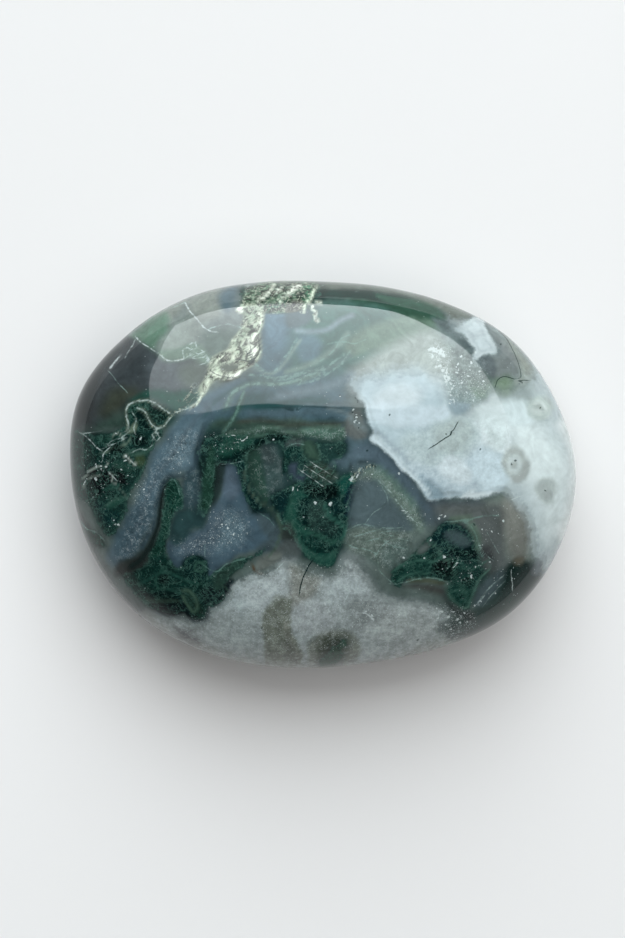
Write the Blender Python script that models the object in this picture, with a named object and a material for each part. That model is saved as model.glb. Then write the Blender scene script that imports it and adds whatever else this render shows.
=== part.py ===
"""A polished moss agate palm stone, one solid piece of chalcedony lying on its belly.

Metres, +Z up. The origin is under the middle of the stone, on the surface that it rests on, and +X
runs along its length. Every level of the stone is its plan outline, drawn smaller towards the crown
and the belly by a superellipse section, and the belly is ground flat where the stone rests.
"""

import math

import bmesh
import bpy
import numpy as np

MM = 0.001

# Overall size
LENGTH = 70.0 * MM
WIDTH = 53.6 * MM
CROWN_HEIGHT = 12.0 * MM  # from the widest level up to the crown
REST_DEPTH = 10.0 * MM  # from the widest level down to the flat that the stone rests on

# Plan outline: the stone's reach from its middle, every 18 degrees anticlockwise from +X
REACH_MM = (
    34.9, 33.7, 32.0, 29.3, 27.4,
    26.8, 28.1, 30.7, 33.3, 35.5,
    34.9, 33.9, 32.3, 29.9, 27.9,
    26.8, 27.2, 29.3, 32.3, 34.1,
)

# Section: 2 is an ellipse, and more is a fuller pillow
FULLNESS = 2.3
BELLY_DEPTH = 10.6 * MM  # how deep the belly would bulge if it weren't ground flat

# Facets of the solid
FACETS_ROUND = 80
FACETS_TALL = 40

# Finish
STONE_COLOUR = (0.17, 0.24, 0.23, 1.0)
STONE_ROUGHNESS = 0.06
CHALCEDONY_IOR = 1.54


def remove_everything():
    for thing in list(bpy.data.objects):
        bpy.data.objects.remove(thing, do_unlink=True)


def reach(angle):
    """The outline's distance from the middle at each angle, on a smooth closed curve through the stations."""
    stations = len(REACH_MM)
    place = np.mod(angle / (2.0 * math.pi) * stations, stations)
    first = np.floor(place).astype(int)
    t = place - first
    before, start, end, after = (
        np.take(REACH_MM, first + step, mode="wrap") * MM for step in (-1, 0, 1, 2)
    )
    slope_in = (end - before) / 2.0
    slope_out = (after - start) / 2.0
    return (
        (2.0 * t**3 - 3.0 * t**2 + 1.0) * start
        + (t**3 - 2.0 * t**2 + t) * slope_in
        + (3.0 * t**2 - 2.0 * t**3) * end
        + (t**3 - t**2) * slope_out
    )


def outline(angle):
    """X and Y of the plan outline, centred on the origin and brought to the stone's length and width."""
    around = np.linspace(0.0, 2.0 * math.pi, 720, endpoint=False)
    whole_x = reach(around) * np.cos(around)
    whole_y = reach(around) * np.sin(around)
    x = reach(angle) * np.cos(angle) - (whole_x.max() + whole_x.min()) / 2.0
    y = reach(angle) * np.sin(angle) - (whole_y.max() + whole_y.min()) / 2.0
    return x * LENGTH / np.ptp(whole_x), y * WIDTH / np.ptp(whole_y)


def section(lift):
    """How much of the outline is left, and the height, at a level whose angle above the widest is lift."""
    share = np.cos(lift) ** (2.0 / FULLNESS)
    rise = np.abs(np.sin(lift)) ** (2.0 / FULLNESS)
    height = REST_DEPTH + np.where(lift > 0.0, CROWN_HEIGHT * rise, -BELLY_DEPTH * rise)
    return share, np.maximum(height, 0.0)


def stone_mesh():
    """A unit sphere whose rings are moved out to the stone's levels."""
    body = bmesh.new()
    bmesh.ops.create_uvsphere(body, u_segments=FACETS_ROUND, v_segments=FACETS_TALL, radius=1.0)
    unit = np.array([vertex.co for vertex in body.verts], float)
    outline_x, outline_y = outline(np.arctan2(unit[:, 1], unit[:, 0]))
    share, height = section(np.arcsin(np.clip(unit[:, 2], -1.0, 1.0)))
    places = np.column_stack([outline_x * share, outline_y * share, height])
    for vertex, place in zip(body.verts, places):
        vertex.co = place
    bmesh.ops.triangulate(body, faces=body.faces)
    bmesh.ops.recalc_face_normals(body, faces=body.faces)
    mesh = bpy.data.meshes.new("moss_agate")
    body.to_mesh(mesh)
    body.free()
    mesh.shade_smooth()
    return mesh


def stone_material():
    """The stone's average colour under a mirror polish."""
    material = bpy.data.materials.new("polished_chalcedony")
    material.use_nodes = True
    shader = material.node_tree.nodes["Principled BSDF"]
    shader.inputs["Base Color"].default_value = STONE_COLOUR
    shader.inputs["Roughness"].default_value = STONE_ROUGHNESS
    shader.inputs["Metallic"].default_value = 0.0
    shader.inputs["IOR"].default_value = CHALCEDONY_IOR
    return material


def main():
    remove_everything()
    collection = bpy.data.collections.new("moss_agate_palm_stone")
    bpy.context.scene.collection.children.link(collection)
    stone = bpy.data.objects.new("moss_agate", stone_mesh())
    stone.data.materials.append(stone_material())
    collection.objects.link(stone)


main()
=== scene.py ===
"""A polished moss agate palm stone on a pale studio floor, seen from straight above."""

import math

import bpy
import numpy as np
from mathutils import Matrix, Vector, noise


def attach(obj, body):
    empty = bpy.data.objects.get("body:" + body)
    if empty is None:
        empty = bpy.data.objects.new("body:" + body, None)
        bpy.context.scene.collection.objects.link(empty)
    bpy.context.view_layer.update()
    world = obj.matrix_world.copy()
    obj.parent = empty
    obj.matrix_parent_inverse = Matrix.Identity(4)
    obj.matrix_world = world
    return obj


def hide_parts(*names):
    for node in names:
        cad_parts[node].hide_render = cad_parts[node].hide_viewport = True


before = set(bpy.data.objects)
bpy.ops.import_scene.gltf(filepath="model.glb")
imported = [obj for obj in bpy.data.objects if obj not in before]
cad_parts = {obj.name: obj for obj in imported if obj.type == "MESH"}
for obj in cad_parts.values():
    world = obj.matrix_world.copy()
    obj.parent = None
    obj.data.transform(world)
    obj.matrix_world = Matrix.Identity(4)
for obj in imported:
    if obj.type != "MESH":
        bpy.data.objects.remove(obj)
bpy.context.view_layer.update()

MM = 0.001

# The camera
# It looks straight down, with the top of the picture towards +Y. A place in the picture is written in
# pixels of the 625 by 938 frame, and the stone's widest level is 0.1384 mm to a pixel.

PICTURE_WIDTH = 625
PICTURE_HEIGHT = 938
PIXEL = 0.1384 * MM
STONE_MIDDLE = (322.9, 474.4)
WIDEST_LEVEL = 10.0 * MM
CAMERA_HEIGHT = 500.0 * MM
SENSOR_HEIGHT = 24.0

camera_x = (PICTURE_WIDTH / 2.0 - STONE_MIDDLE[0]) * PIXEL
camera_y = (STONE_MIDDLE[1] - PICTURE_HEIGHT / 2.0) * PIXEL
camera_data = bpy.data.cameras.new("camera")
camera_data.sensor_fit = "VERTICAL"
camera_data.sensor_height = SENSOR_HEIGHT
camera_data.lens = SENSOR_HEIGHT * (CAMERA_HEIGHT - WIDEST_LEVEL) / (PICTURE_HEIGHT * PIXEL)
camera_data.clip_start = 0.01
camera = bpy.data.objects.new("camera", camera_data)
camera.location = (camera_x, camera_y, CAMERA_HEIGHT)
bpy.context.scene.collection.objects.link(camera)
bpy.context.scene.camera = camera


def picture_place(x, y, z):
    """Where a point of the stone falls in the picture, in pixels."""
    enlarged = (CAMERA_HEIGHT - WIDEST_LEVEL) / (CAMERA_HEIGHT - z) / PIXEL
    return (
        PICTURE_WIDTH / 2.0 + (x - camera_x) * enlarged,
        PICTURE_HEIGHT / 2.0 - (y - camera_y) * enlarged,
    )


# The light
# One tall softbox leans in from the top of the picture, and its reflection lies over the stone's upper
# half. The rest of the studio is a dim dome, darkest overhead, so the polish stays deep, and a wide fill
# that the polish doesn't mirror lightens the shadows.

SOFTBOX_LOW_EDGE = 5.6  # the glow at its low edge
SOFTBOX_HIGH_EDGE = 2.6
SOFTBOX_LEFT_GLOW = 0.65  # the share of the glow that its left end has
SOFTBOX_RISE = (0.0, 0.42, 0.45)  # from where to where across it the glow rises, and by what share
SOFTBOX_FALL = (0.70, 0.95, 0.30)  # the same for its fall towards the right end
SOFTBOX_CUT_CORNERS = ((0.8, 0.08, 0.17), (1.94, 2.06, 2.02))  # high left and low right: slope, and edge
SOFTBOX_SOFT_EDGE = (0.49, 0.67, 0.30, 0.01)  # where its high edge softens, and how soft there and elsewhere
SOFTBOX_COLOUR = (0.94, 1.0, 1.03)
SOFTBOX_DISTANCE = 1.6
SOFTBOX_TILT = math.radians(46.8)  # off the vertical, towards +Y
SOFTBOX_WIDTH = 2.8
SOFTBOX_TALL = 2.02
SOFTBOX_ASIDE = 0.28  # towards +X
DOME_LOW = 0.22
DOME_FRONT = 0.22  # more light low down towards -Y
DOME_LEFT = 0.14  # and towards -X
DOME_OVERHEAD = 0.02
DOME_OVERHEAD_FROM = (0.05, 0.4)  # the height over which the dome turns dark
DOME_COLOUR = (0.97, 0.99, 1.0, 1.0)
FILL_SIZE = 2.0
FILL_HEIGHT = 1.6
FILL_ASIDE = (0.75, -0.25)
FILL_GLOW = 1.5


class Value:
    """A node's output. Sums on it add Math nodes to its tree."""

    def __init__(self, tree, socket):
        self.tree = tree
        self.socket = socket

    def sum(self, operation, *others):
        return Maker(self.tree).node(
            "ShaderNodeMath", {"operation": operation}, dict(enumerate((self,) + others))
        )

    def __add__(self, other):
        return self.sum("ADD", other)

    __radd__ = __add__

    def __mul__(self, other):
        return self.sum("MULTIPLY", other)

    __rmul__ = __mul__

    def __sub__(self, other):
        return self.sum("SUBTRACT", other)

    def __rsub__(self, other):
        return (self * -1.0) + other

    def __truediv__(self, other):
        return self.sum("DIVIDE", other)

    def __pow__(self, other):
        return self.sum("POWER", other)

    def __abs__(self):
        return self.sum("ABSOLUTE")

    def lesser(self, other):
        return self.sum("MINIMUM", other)

    def greater(self, other):
        return self.sum("MAXIMUM", other)

    def ramp(self, start, end):
        """0 at start and 1 at end, with a smooth rise between them."""
        return Maker(self.tree).node(
            "ShaderNodeMapRange",
            {"interpolation_type": "SMOOTHSTEP", "clamp": True},
            {"Value": self, "From Min": start, "From Max": end},
        )


class Maker:
    """Adds nodes to one node tree."""

    def __init__(self, tree):
        self.tree = tree

    def node(self, kind, settings=None, sockets=None, output=0):
        """A node of that type, its settings, the values or links of its sockets, and one of its outputs."""
        made = self.tree.nodes.new(kind)
        for name, setting in (settings or {}).items():
            setattr(made, name, setting)
        for name, value in (sockets or {}).items():
            if isinstance(value, Value):
                self.tree.links.new(value.socket, made.inputs[name])
            else:
                made.inputs[name].default_value = value
        return Value(self.tree, made.outputs[output])

    def vector(self, operation, *sockets):
        return self.node("ShaderNodeVectorMath", {"operation": operation}, dict(enumerate(sockets)))

    def split(self, vector):
        return [self.node("ShaderNodeSeparateXYZ", None, {0: vector}, output) for output in range(3)]

    def join(self, x, y, z):
        return self.node("ShaderNodeCombineXYZ", None, {0: x, 1: y, 2: z})

    def mix(self, share, under, over, how="MIX"):
        """Colour over laid on colour under."""
        kinds = {"data_type": "RGBA", "blend_type": how}
        return self.node("ShaderNodeMix", kinds, {0: share, 6: under, 7: over}, 2)


softbox_data = bpy.data.lights.new("softbox", "AREA")
softbox_data.shape = "RECTANGLE"
softbox_data.size = SOFTBOX_WIDTH
softbox_data.size_y = SOFTBOX_TALL
softbox_data.energy = math.pi * SOFTBOX_WIDTH * SOFTBOX_TALL
softbox_data.color = SOFTBOX_COLOUR
softbox_data.use_nodes = True
cloth = Maker(softbox_data.node_tree)
across, down = cloth.split(cloth.node("ShaderNodeNewGeometry", None, None, 5))[:2]
glow = down * (SOFTBOX_LOW_EDGE - SOFTBOX_HIGH_EDGE) + SOFTBOX_HIGH_EDGE
rise_start, rise_end, rise = SOFTBOX_RISE
fall_start, fall_end, fall = SOFTBOX_FALL
lift = across.ramp(rise_start, rise_end) * rise - across.ramp(fall_start, fall_end) * fall
glow = glow * (lift + SOFTBOX_LEFT_GLOW)
for slope, cut_start, cut_end in SOFTBOX_CUT_CORNERS:
    glow = glow * (down + across * slope).ramp(cut_start, cut_end)
soft_start, soft_end, softest, crispest = SOFTBOX_SOFT_EDGE
glow = glow * (down / (across.ramp(soft_start, soft_end) * softest + crispest)).ramp(0.0, 1.0)
softbox_data.node_tree.links.new(glow.socket, softbox_data.node_tree.nodes["Emission"].inputs["Strength"])
softbox = bpy.data.objects.new("softbox", softbox_data)
softbox.location = (
    SOFTBOX_ASIDE,
    SOFTBOX_DISTANCE * math.sin(SOFTBOX_TILT),
    SOFTBOX_DISTANCE * math.cos(SOFTBOX_TILT),
)
softbox.rotation_euler = (-SOFTBOX_TILT, 0.0, 0.0)
softbox.visible_camera = False
bpy.context.scene.collection.objects.link(softbox)

fill_data = bpy.data.lights.new("fill", "AREA")
fill_data.size = FILL_SIZE
fill_data.energy = math.pi * FILL_SIZE**2 * FILL_GLOW
fill = bpy.data.objects.new("fill", fill_data)
fill.location = (*FILL_ASIDE, FILL_HEIGHT)
fill.visible_camera = False
fill.visible_glossy = False
bpy.context.scene.collection.objects.link(fill)

world = bpy.data.worlds.new("studio_dome")
world.use_nodes = True
bpy.context.scene.world = world
dome = Maker(world.node_tree)
sky = dome.node("ShaderNodeTexCoord", None, None, 0)
sky_x, sky_y, sky_height = dome.split(sky)
low_light = sky_y.ramp(0.0, -1.0) * DOME_FRONT + sky_x.ramp(0.0, -1.0) * DOME_LEFT + DOME_LOW
overhead = sky_height.ramp(*DOME_OVERHEAD_FROM)
world.node_tree.links.new(
    (low_light * (1.0 - overhead) + overhead * DOME_OVERHEAD).socket,
    world.node_tree.nodes["Background"].inputs["Strength"],
)
world.node_tree.nodes["Background"].inputs["Color"].default_value = DOME_COLOUR

view = bpy.context.scene.view_settings
view.view_transform = "Standard"
view.look = "None"

# The floor
# A plain pale floor, which isn't part of the object.

FLOOR_HALF = 4.0
FLOOR_COLOUR = (0.695, 0.686, 0.678, 1.0)
FLOOR_ROUGHNESS = 0.9
FLOOR_SPECULAR = 0.1

floor_mesh = bpy.data.meshes.new("floor")
floor_mesh.from_pydata(
    [(-FLOOR_HALF, -FLOOR_HALF, 0.0), (FLOOR_HALF, -FLOOR_HALF, 0.0), (FLOOR_HALF, FLOOR_HALF, 0.0),
     (-FLOOR_HALF, FLOOR_HALF, 0.0)],
    [],
    [(0, 1, 2, 3)],
)
floor = bpy.data.objects.new("floor", floor_mesh)
floor_material = bpy.data.materials.new("pale_floor")
floor_material.use_nodes = True
floor_shader = floor_material.node_tree.nodes["Principled BSDF"]
floor_shader.inputs["Base Color"].default_value = FLOOR_COLOUR
floor_shader.inputs["Roughness"].default_value = FLOOR_ROUGHNESS
floor_shader.inputs["Specular IOR Level"].default_value = FLOOR_SPECULAR
floor_mesh.materials.append(floor_material)
bpy.context.scene.collection.objects.link(floor)

# The stone
# One polished piece of moss agate. Each level is the plan outline, drawn in towards the crown and the
# belly by a superellipse section, and the belly is ground flat where the stone lies.

LENGTH = 70.0 * MM
WIDTH = 53.6 * MM
CROWN_HEIGHT = 12.0 * MM
BELLY_DEPTH = 10.6 * MM
FULLNESS = 2.3
REACH_MM = (
    34.9, 33.7, 32.0, 29.3, 27.4,
    26.8, 28.1, 30.7, 33.3, 35.5,
    34.9, 33.9, 32.3, 29.9, 27.9,
    26.8, 27.2, 29.3, 32.3, 34.1,
)  # from the middle, every 18 degrees anticlockwise from +X
OUTLINE_STEPS = 720
MESH_STEPS = {"Steps Long": 200, "Steps Wide": 154, "Steps Tall": 50}
EYE_DROP = 0.35  # lowers the point that the mesh is spread from, so the top gets more of its faces

around = np.linspace(0.0, 2.0 * math.pi, OUTLINE_STEPS, endpoint=False)
place = around / (2.0 * math.pi) * len(REACH_MM)
first = np.floor(place).astype(int)
t = place - first
before, start, end, after = (np.take(REACH_MM, first + step, mode="wrap") * MM for step in (-1, 0, 1, 2))
reach = (
    (2.0 * t**3 - 3.0 * t**2 + 1.0) * start
    + (t**3 - 2.0 * t**2 + t) * (end - before) / 2.0
    + (3.0 * t**2 - 2.0 * t**3) * end
    + (t**3 - t**2) * (after - start) / 2.0
)
ring_x = reach * np.cos(around)
ring_y = reach * np.sin(around)
ring_x = (ring_x - (ring_x.max() + ring_x.min()) / 2.0) * LENGTH / np.ptp(ring_x)
ring_y = (ring_y - (ring_y.max() + ring_y.min()) / 2.0) * WIDTH / np.ptp(ring_y)

ring_mesh = bpy.data.meshes.new("stone_outline")
ring_mesh.from_pydata(
    [(x, y, 0.0) for x, y in zip(ring_x, ring_y)],
    [(step, (step + 1) % OUTLINE_STEPS) for step in range(OUTLINE_STEPS)],
    [],
)

stone_material = bpy.data.materials.new("moss_agate")
stone_material.use_nodes = True

pebble_tree = bpy.data.node_groups.new("pebble_from_outline", "GeometryNodeTree")
pebble_sizes = {
    "Steps Long": ("NodeSocketInt", MESH_STEPS["Steps Long"]),
    "Steps Wide": ("NodeSocketInt", MESH_STEPS["Steps Wide"]),
    "Steps Tall": ("NodeSocketInt", MESH_STEPS["Steps Tall"]),
    "Crown Height": ("NodeSocketFloat", CROWN_HEIGHT),
    "Rest Depth": ("NodeSocketFloat", WIDEST_LEVEL),
    "Belly Depth": ("NodeSocketFloat", BELLY_DEPTH),
    "Fullness": ("NodeSocketFloat", FULLNESS),
    "Eye Drop": ("NodeSocketFloat", EYE_DROP),
    "Material": ("NodeSocketMaterial", stone_material),
}
pebble_tree.interface.new_socket("Outline", in_out="INPUT", socket_type="NodeSocketGeometry")
pebble_sockets = {
    name: pebble_tree.interface.new_socket(name, in_out="INPUT", socket_type=kind)
    for name, (kind, size) in pebble_sizes.items()
}
pebble_tree.interface.new_socket("Stone", in_out="OUTPUT", socket_type="NodeSocketGeometry")

pebble = Maker(pebble_tree)
given = pebble_tree.nodes.new("NodeGroupInput")
given = {socket.name: Value(pebble_tree, socket) for socket in given.outputs if socket.name}
block = pebble.node(
    "GeometryNodeMeshCube",
    None,
    {"Size": (2.0, 2.0, 2.0), "Vertices X": given["Steps Long"], "Vertices Y": given["Steps Wide"],
     "Vertices Z": given["Steps Tall"]},
)
on_block = pebble.split(pebble.node("GeometryNodeInputPosition"))
spread = [(side * (math.pi / 4.0)).sum("TANGENT") for side in on_block]
away = pebble.vector("NORMALIZE", pebble.join(spread[0], spread[1], spread[2] - given["Eye Drop"]))
away_x, away_y, away_z = pebble.split(away)
turn = (away_y.sum("ARCTAN2", away_x) / (2.0 * math.pi)).sum("FRACT") * float(OUTLINE_STEPS)
step_before = turn.sum("FLOOR")
corner = pebble.node("GeometryNodeInputPosition")
corners = [
    pebble.node(
        "GeometryNodeSampleIndex",
        {"data_type": "FLOAT_VECTOR", "domain": "POINT"},
        {"Geometry": given["Outline"], "Value": corner, "Index": corner_step},
    )
    for corner_step in ((step_before + ahead).sum("MODULO", float(OUTLINE_STEPS)) for ahead in (0.0, 1.0))
]
on_outline = pebble.node(
    "ShaderNodeMix", {"data_type": "VECTOR"}, {0: turn - step_before, 4: corners[0], 5: corners[1]}, 1
)
flatness = given["Fullness"] ** -1.0
share = (1.0 - away_z * away_z).greater(0.0) ** flatness
rise = abs(away_z) ** (flatness * 2.0)
above = away_z.sum("GREATER_THAN", 0.0)
height = (
    given["Rest Depth"] + above * rise * given["Crown Height"] - (1.0 - above) * rise * given["Belly Depth"]
).greater(0.0)
out_x, out_y = pebble.split(on_outline)[:2]
new_place = pebble.join(out_x * share, out_y * share, height)
moved = pebble.node("GeometryNodeSetPosition", None, {"Geometry": block, "Position": new_place})
smooth = pebble.node("GeometryNodeSetShadeSmooth", None, {"Geometry": moved, "Shade Smooth": True})
real = pebble.node("GeometryNodeRealizeInstances", None, {"Geometry": smooth})
finished = pebble.node("GeometryNodeSetMaterial", None, {"Geometry": real, "Material": given["Material"]})
pebble_out = pebble_tree.nodes.new("NodeGroupOutput")
pebble_tree.links.new(finished.socket, pebble_out.inputs["Stone"])

stone = bpy.data.objects.new("moss_agate_stone", ring_mesh)
bpy.context.scene.collection.objects.link(stone)
pebble_modifier = stone.modifiers.new("pebble", "NODES")
pebble_modifier.node_group = pebble_tree
for name, (kind, size) in pebble_sizes.items():
    pebble_modifier[pebble_sockets[name].identifier] = size
bpy.context.view_layer.update()
made_stone = stone.evaluated_get(bpy.context.evaluated_depsgraph_get())
stone_mesh = bpy.data.meshes.new_from_object(made_stone)
stone.modifiers.clear()
stone.data = stone_mesh
stone_mesh.name = "moss_agate_stone"

# The stone's markings
# They are mineral in the stone's own mass: smoky and blue chalcedony, a milky cloud, granular quartz,
# green moss and pale crusty veins. Each is an outline or a line traced in pixels of the picture.
# A few of them are painted light instead of mineral: the shadow round the moss, a shadow at the foot of the
# lower left mass, the glints of crystals, and the cloud made paler at the right rim.

GREY = (0.12, 0.165, 0.15)

# Soft-edged zones: colour, how softly the edge fades in pixels, and outline, from the deepest zone up
ZONES = (
    # upper left: pale grey shoulder, its blue-grey smudge, smoke, its darker rim and brown foot
    ((0.17, 0.21, 0.20), 8, ((130, 335), (145, 305), (180, 285), (262, 268), (262, 300), (245, 330),
     (215, 352), (180, 352), (150, 345))),
    ((0.22, 0.255, 0.225), 5, ((150, 318), (164, 300), (188, 286), (216, 274), (238, 270), (238, 284),
     (216, 288), (192, 298), (174, 316), (162, 328))),
    ((0.115, 0.205, 0.150), 5, ((132, 338), (140, 326), (152, 316), (164, 312), (168, 322), (162, 336),
     (154, 348), (144, 344))),
    ((0.235, 0.285, 0.255), 7, ((160, 346), (170, 326), (188, 314), (204, 318), (204, 338), (190, 346),
     (172, 352))),
    ((0.24, 0.275, 0.245), 6, ((190, 296), (214, 284), (224, 292), (224, 312), (206, 320), (190, 312))),
    ((0.10, 0.15, 0.17), 6, ((221, 290), (236, 284), (238, 300), (231, 312), (222, 306))),
    ((0.107, 0.156, 0.133), 7, ((205, 335), (240, 332), (240, 345), (225, 356), (208, 356))),
    ((0.046, 0.058, 0.062), 5, ((134, 338), (150, 347), (167, 358), (190, 356), (210, 352), (212, 370),
     (200, 388), (178, 398), (140, 400), (118, 412), (100, 426), (70, 430), (60, 400), (80, 365),
     (104, 345), (122, 335))),
    ((0.012, 0.018, 0.018), 9, ((74, 424), (66, 395), (84, 366), (104, 348), (112, 352), (98, 378),
     (92, 402), (88, 424))),
    ((0.046, 0.056, 0.042), 8, ((98, 418), (104, 398), (122, 386), (140, 392), (126, 404), (112, 418))),
    ((0.090, 0.112, 0.120), 6, ((148, 356), (164, 356), (184, 360), (198, 372), (196, 388), (174, 394),
     (152, 388), (146, 370))),
    ((0.11, 0.145, 0.122), 7, ((182, 368), (196, 362), (206, 370), (198, 384), (184, 386))),
    ((0.045, 0.10, 0.09), 6, ((128, 402), (150, 396), (178, 396), (200, 388), (202, 402), (180, 412),
     (172, 424), (150, 426), (130, 420))),
    ((0.030, 0.060, 0.048), 8, ((84, 430), (98, 424), (118, 412), (132, 404), (130, 424), (104, 432))),
    # upper middle: bluish panels, mint haze and the paler green of the top
    ((0.075, 0.14, 0.165), 8, ((262, 312), (300, 310), (330, 318), (350, 345), (348, 380), (345, 405),
     (300, 405), (240, 410), (208, 412), (206, 400), (232, 382), (258, 368))),
    ((0.085, 0.165, 0.205), 6, ((266, 318), (272, 304), (292, 302), (290, 330), (282, 350), (268, 352))),
    ((0.055, 0.137, 0.115), 12, ((300, 318), (340, 300), (400, 304), (440, 318), (440, 345), (400, 360),
     (360, 372), (320, 372), (290, 366))),
    ((0.15, 0.235, 0.178), 9, ((392, 318), (420, 312), (446, 326), (452, 345), (430, 348), (404, 344),
     (386, 332))),
    ((0.030, 0.088, 0.056), 4, ((352, 296), (380, 298), (410, 302), (438, 311), (446, 317), (426, 321),
     (404, 314), (380, 307), (352, 302))),
    ((0.11, 0.165, 0.12), 5, ((372, 288), (400, 290), (432, 300), (452, 312), (436, 310), (410, 301),
     (384, 296))),
    ((0.022, 0.075, 0.075), 5, ((236, 398), (258, 392), (300, 396), (330, 398), (330, 407), (290, 408),
     (240, 412))),
    ((0.008, 0.030, 0.026), 5, ((300, 276), (360, 276), (424, 284), (424, 298), (398, 301), (350, 298),
     (318, 300))),
    ((0.10, 0.15, 0.155), 5, ((436, 306), (460, 318), (480, 340), (478, 352), (466, 338), (450, 326),
     (436, 318))),
    # the dark, olive-edged band under the swirls
    ((0.058, 0.108, 0.130), 5, ((206, 412), (240, 411), (300, 407), (350, 407), (358, 424), (345, 432),
     (300, 421), (270, 421), (240, 424), (210, 432))),
    ((0.038, 0.072, 0.056), 5, ((212, 420), (240, 419), (270, 419), (300, 421), (338, 422), (344, 430),
     (300, 431), (262, 430), (232, 434), (212, 440))),
    # middle: dark green body, its grey-green windows, and blue-grey water at its right
    ((0.020, 0.052, 0.048), 6, ((205, 428), (240, 430), (290, 432), (340, 428), (350, 440), (352, 470),
     (352, 520), (350, 548), (330, 566), (300, 558), (284, 540), (276, 520), (262, 510), (250, 490),
     (236, 466), (216, 464), (204, 480), (198, 460))),
    ((0.034, 0.072, 0.074), 7, ((244, 452), (268, 446), (290, 452), (292, 476), (282, 500), (268, 506),
     (252, 492), (244, 474))),
    ((0.062, 0.128, 0.108), 4, ((303, 428), (336, 427), (345, 434), (342, 442), (325, 441), (306, 438))),
    ((0.085, 0.135, 0.135), 4, ((304, 444), (319, 445), (318, 462), (306, 458))),
    ((0.075, 0.125, 0.145), 7, ((330, 440), (352, 410), (366, 420), (376, 445), (396, 462), (392, 476),
     (370, 466), (350, 470), (330, 466))),
    ((0.070, 0.115, 0.150), 3, ((290, 462), (297, 464), (298, 476), (292, 476))),
    # blue ribbon and its smoky foot at the left
    ((0.080, 0.135, 0.165), 6, ((170, 428), (190, 408), (226, 382), (242, 388), (222, 406), (205, 424),
     (201, 445), (204, 464), (196, 470), (182, 474), (166, 480), (158, 500), (153, 524), (140, 552),
     (122, 570), (108, 560), (114, 534), (126, 520), (128, 508), (146, 476), (152, 452))),
    ((0.115, 0.185, 0.22), 6, ((165, 452), (180, 430), (196, 420), (198, 440), (192, 462), (172, 466))),
    ((0.062, 0.108, 0.132), 7, ((130, 512), (148, 500), (150, 524), (134, 552), (116, 556), (118, 536))),
    ((0.024, 0.036, 0.032), 6, ((118, 566), (134, 556), (146, 538), (156, 528), (152, 548), (144, 568),
     (126, 576))),
    ((0.055, 0.062, 0.060), 10, ((74, 500), (86, 530), (100, 560), (122, 592), (150, 616), (178, 636),
     (160, 650), (110, 620), (70, 560), (60, 500))),
    # blue triangle with its dark frame
    ((0.012, 0.034, 0.032), 5, ((204, 470), (214, 462), (226, 460), (244, 464), (254, 488), (268, 508),
     (280, 526), (272, 534), (256, 518), (244, 500), (240, 478), (230, 470), (220, 492), (206, 512),
     (200, 530), (196, 500))),
    ((0.062, 0.108, 0.138), 3, ((231, 464), (224, 474), (223, 488), (214, 508), (206, 526), (180, 534),
     (168, 544), (170, 558), (180, 572), (196, 570), (208, 578), (216, 568), (238, 556), (262, 548),
     (276, 534), (268, 520), (252, 512), (245, 492), (239, 470))),
    ((0.095, 0.158, 0.19), 8, ((206, 530), (226, 510), (246, 520), (244, 540), (214, 552), (190, 556),
     (178, 544))),
    ((0.070, 0.105, 0.115), 5, ((256, 552), (276, 532), (284, 524), (296, 540), (298, 556), (284, 558),
     (268, 556))),
    # right of the middle: grey window, mint fibres and the haze round the right moss
    ((0.10, 0.155, 0.162), 4, ((350, 486), (362, 478), (378, 484), (392, 500), (408, 522), (400, 528),
     (376, 530), (352, 526))),
    ((0.115, 0.175, 0.158), 7, ((348, 528), (380, 524), (412, 526), (404, 545), (392, 560), (378, 566),
     (362, 552), (348, 548))),
    ((0.10, 0.17, 0.145), 4, ((368, 466), (384, 466), (402, 482), (422, 508), (426, 526), (412, 522),
     (396, 498), (380, 482))),
    ((0.23, 0.28, 0.275), 6, ((336, 566), (344, 552), (354, 552), (366, 562), (376, 582), (362, 580),
     (346, 566))),
    ((0.07, 0.10, 0.112), 8, ((418, 502), (440, 500), (470, 506), (480, 520), (452, 520), (432, 528),
     (420, 520))),
    ((0.215, 0.262, 0.23), 10, ((478, 504), (512, 498), (536, 510), (540, 540), (524, 566), (500, 570),
     (484, 545), (472, 522))),
    ((0.13, 0.16, 0.155), 8, ((484, 550), (508, 560), (512, 580), (496, 584), (484, 574))),
    ((0.028, 0.062, 0.054), 7, ((476, 572), (492, 566), (498, 578), (486, 596), (474, 604))),
    ((0.014, 0.040, 0.034), 8, ((470, 612), (488, 586), (512, 566), (530, 570), (536, 590), (512, 618),
     (470, 642), (446, 640), (446, 618))),
    # under the veils: grey behind the cloud, dark seam over the quartz
    ((0.20, 0.26, 0.25), 8, ((440, 344), (480, 352), (500, 372), (530, 384), (600, 380), (560, 300),
     (480, 300), (440, 320))),
    ((0.11, 0.15, 0.138), 5, ((296, 560), (318, 566), (334, 572), (346, 560), (360, 562), (376, 572),
     (390, 588), (412, 588), (440, 588), (462, 606), (452, 620), (420, 640), (320, 600), (296, 580))),
    ((0.13, 0.17, 0.17), 4, ((430, 318), (446, 316), (458, 324), (462, 334), (474, 344), (476, 356),
     (462, 346), (446, 332))),
    ((0.20, 0.235, 0.23), 4, ((486, 328), (500, 338), (512, 350), (520, 372), (508, 376), (492, 376),
     (482, 364), (488, 354), (498, 348))),
    ((0.13, 0.16, 0.165), 3, ((478, 362), (486, 354), (494, 358), (496, 368), (490, 378))),
    ((0.17, 0.25, 0.17), 5, ((494, 388), (498, 378), (508, 374), (514, 380), (508, 388))),
    ((0.28, 0.32, 0.275), 5, ((508, 340), (520, 352), (534, 372), (528, 384), (516, 382), (522, 372),
     (514, 354))),
)

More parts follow.
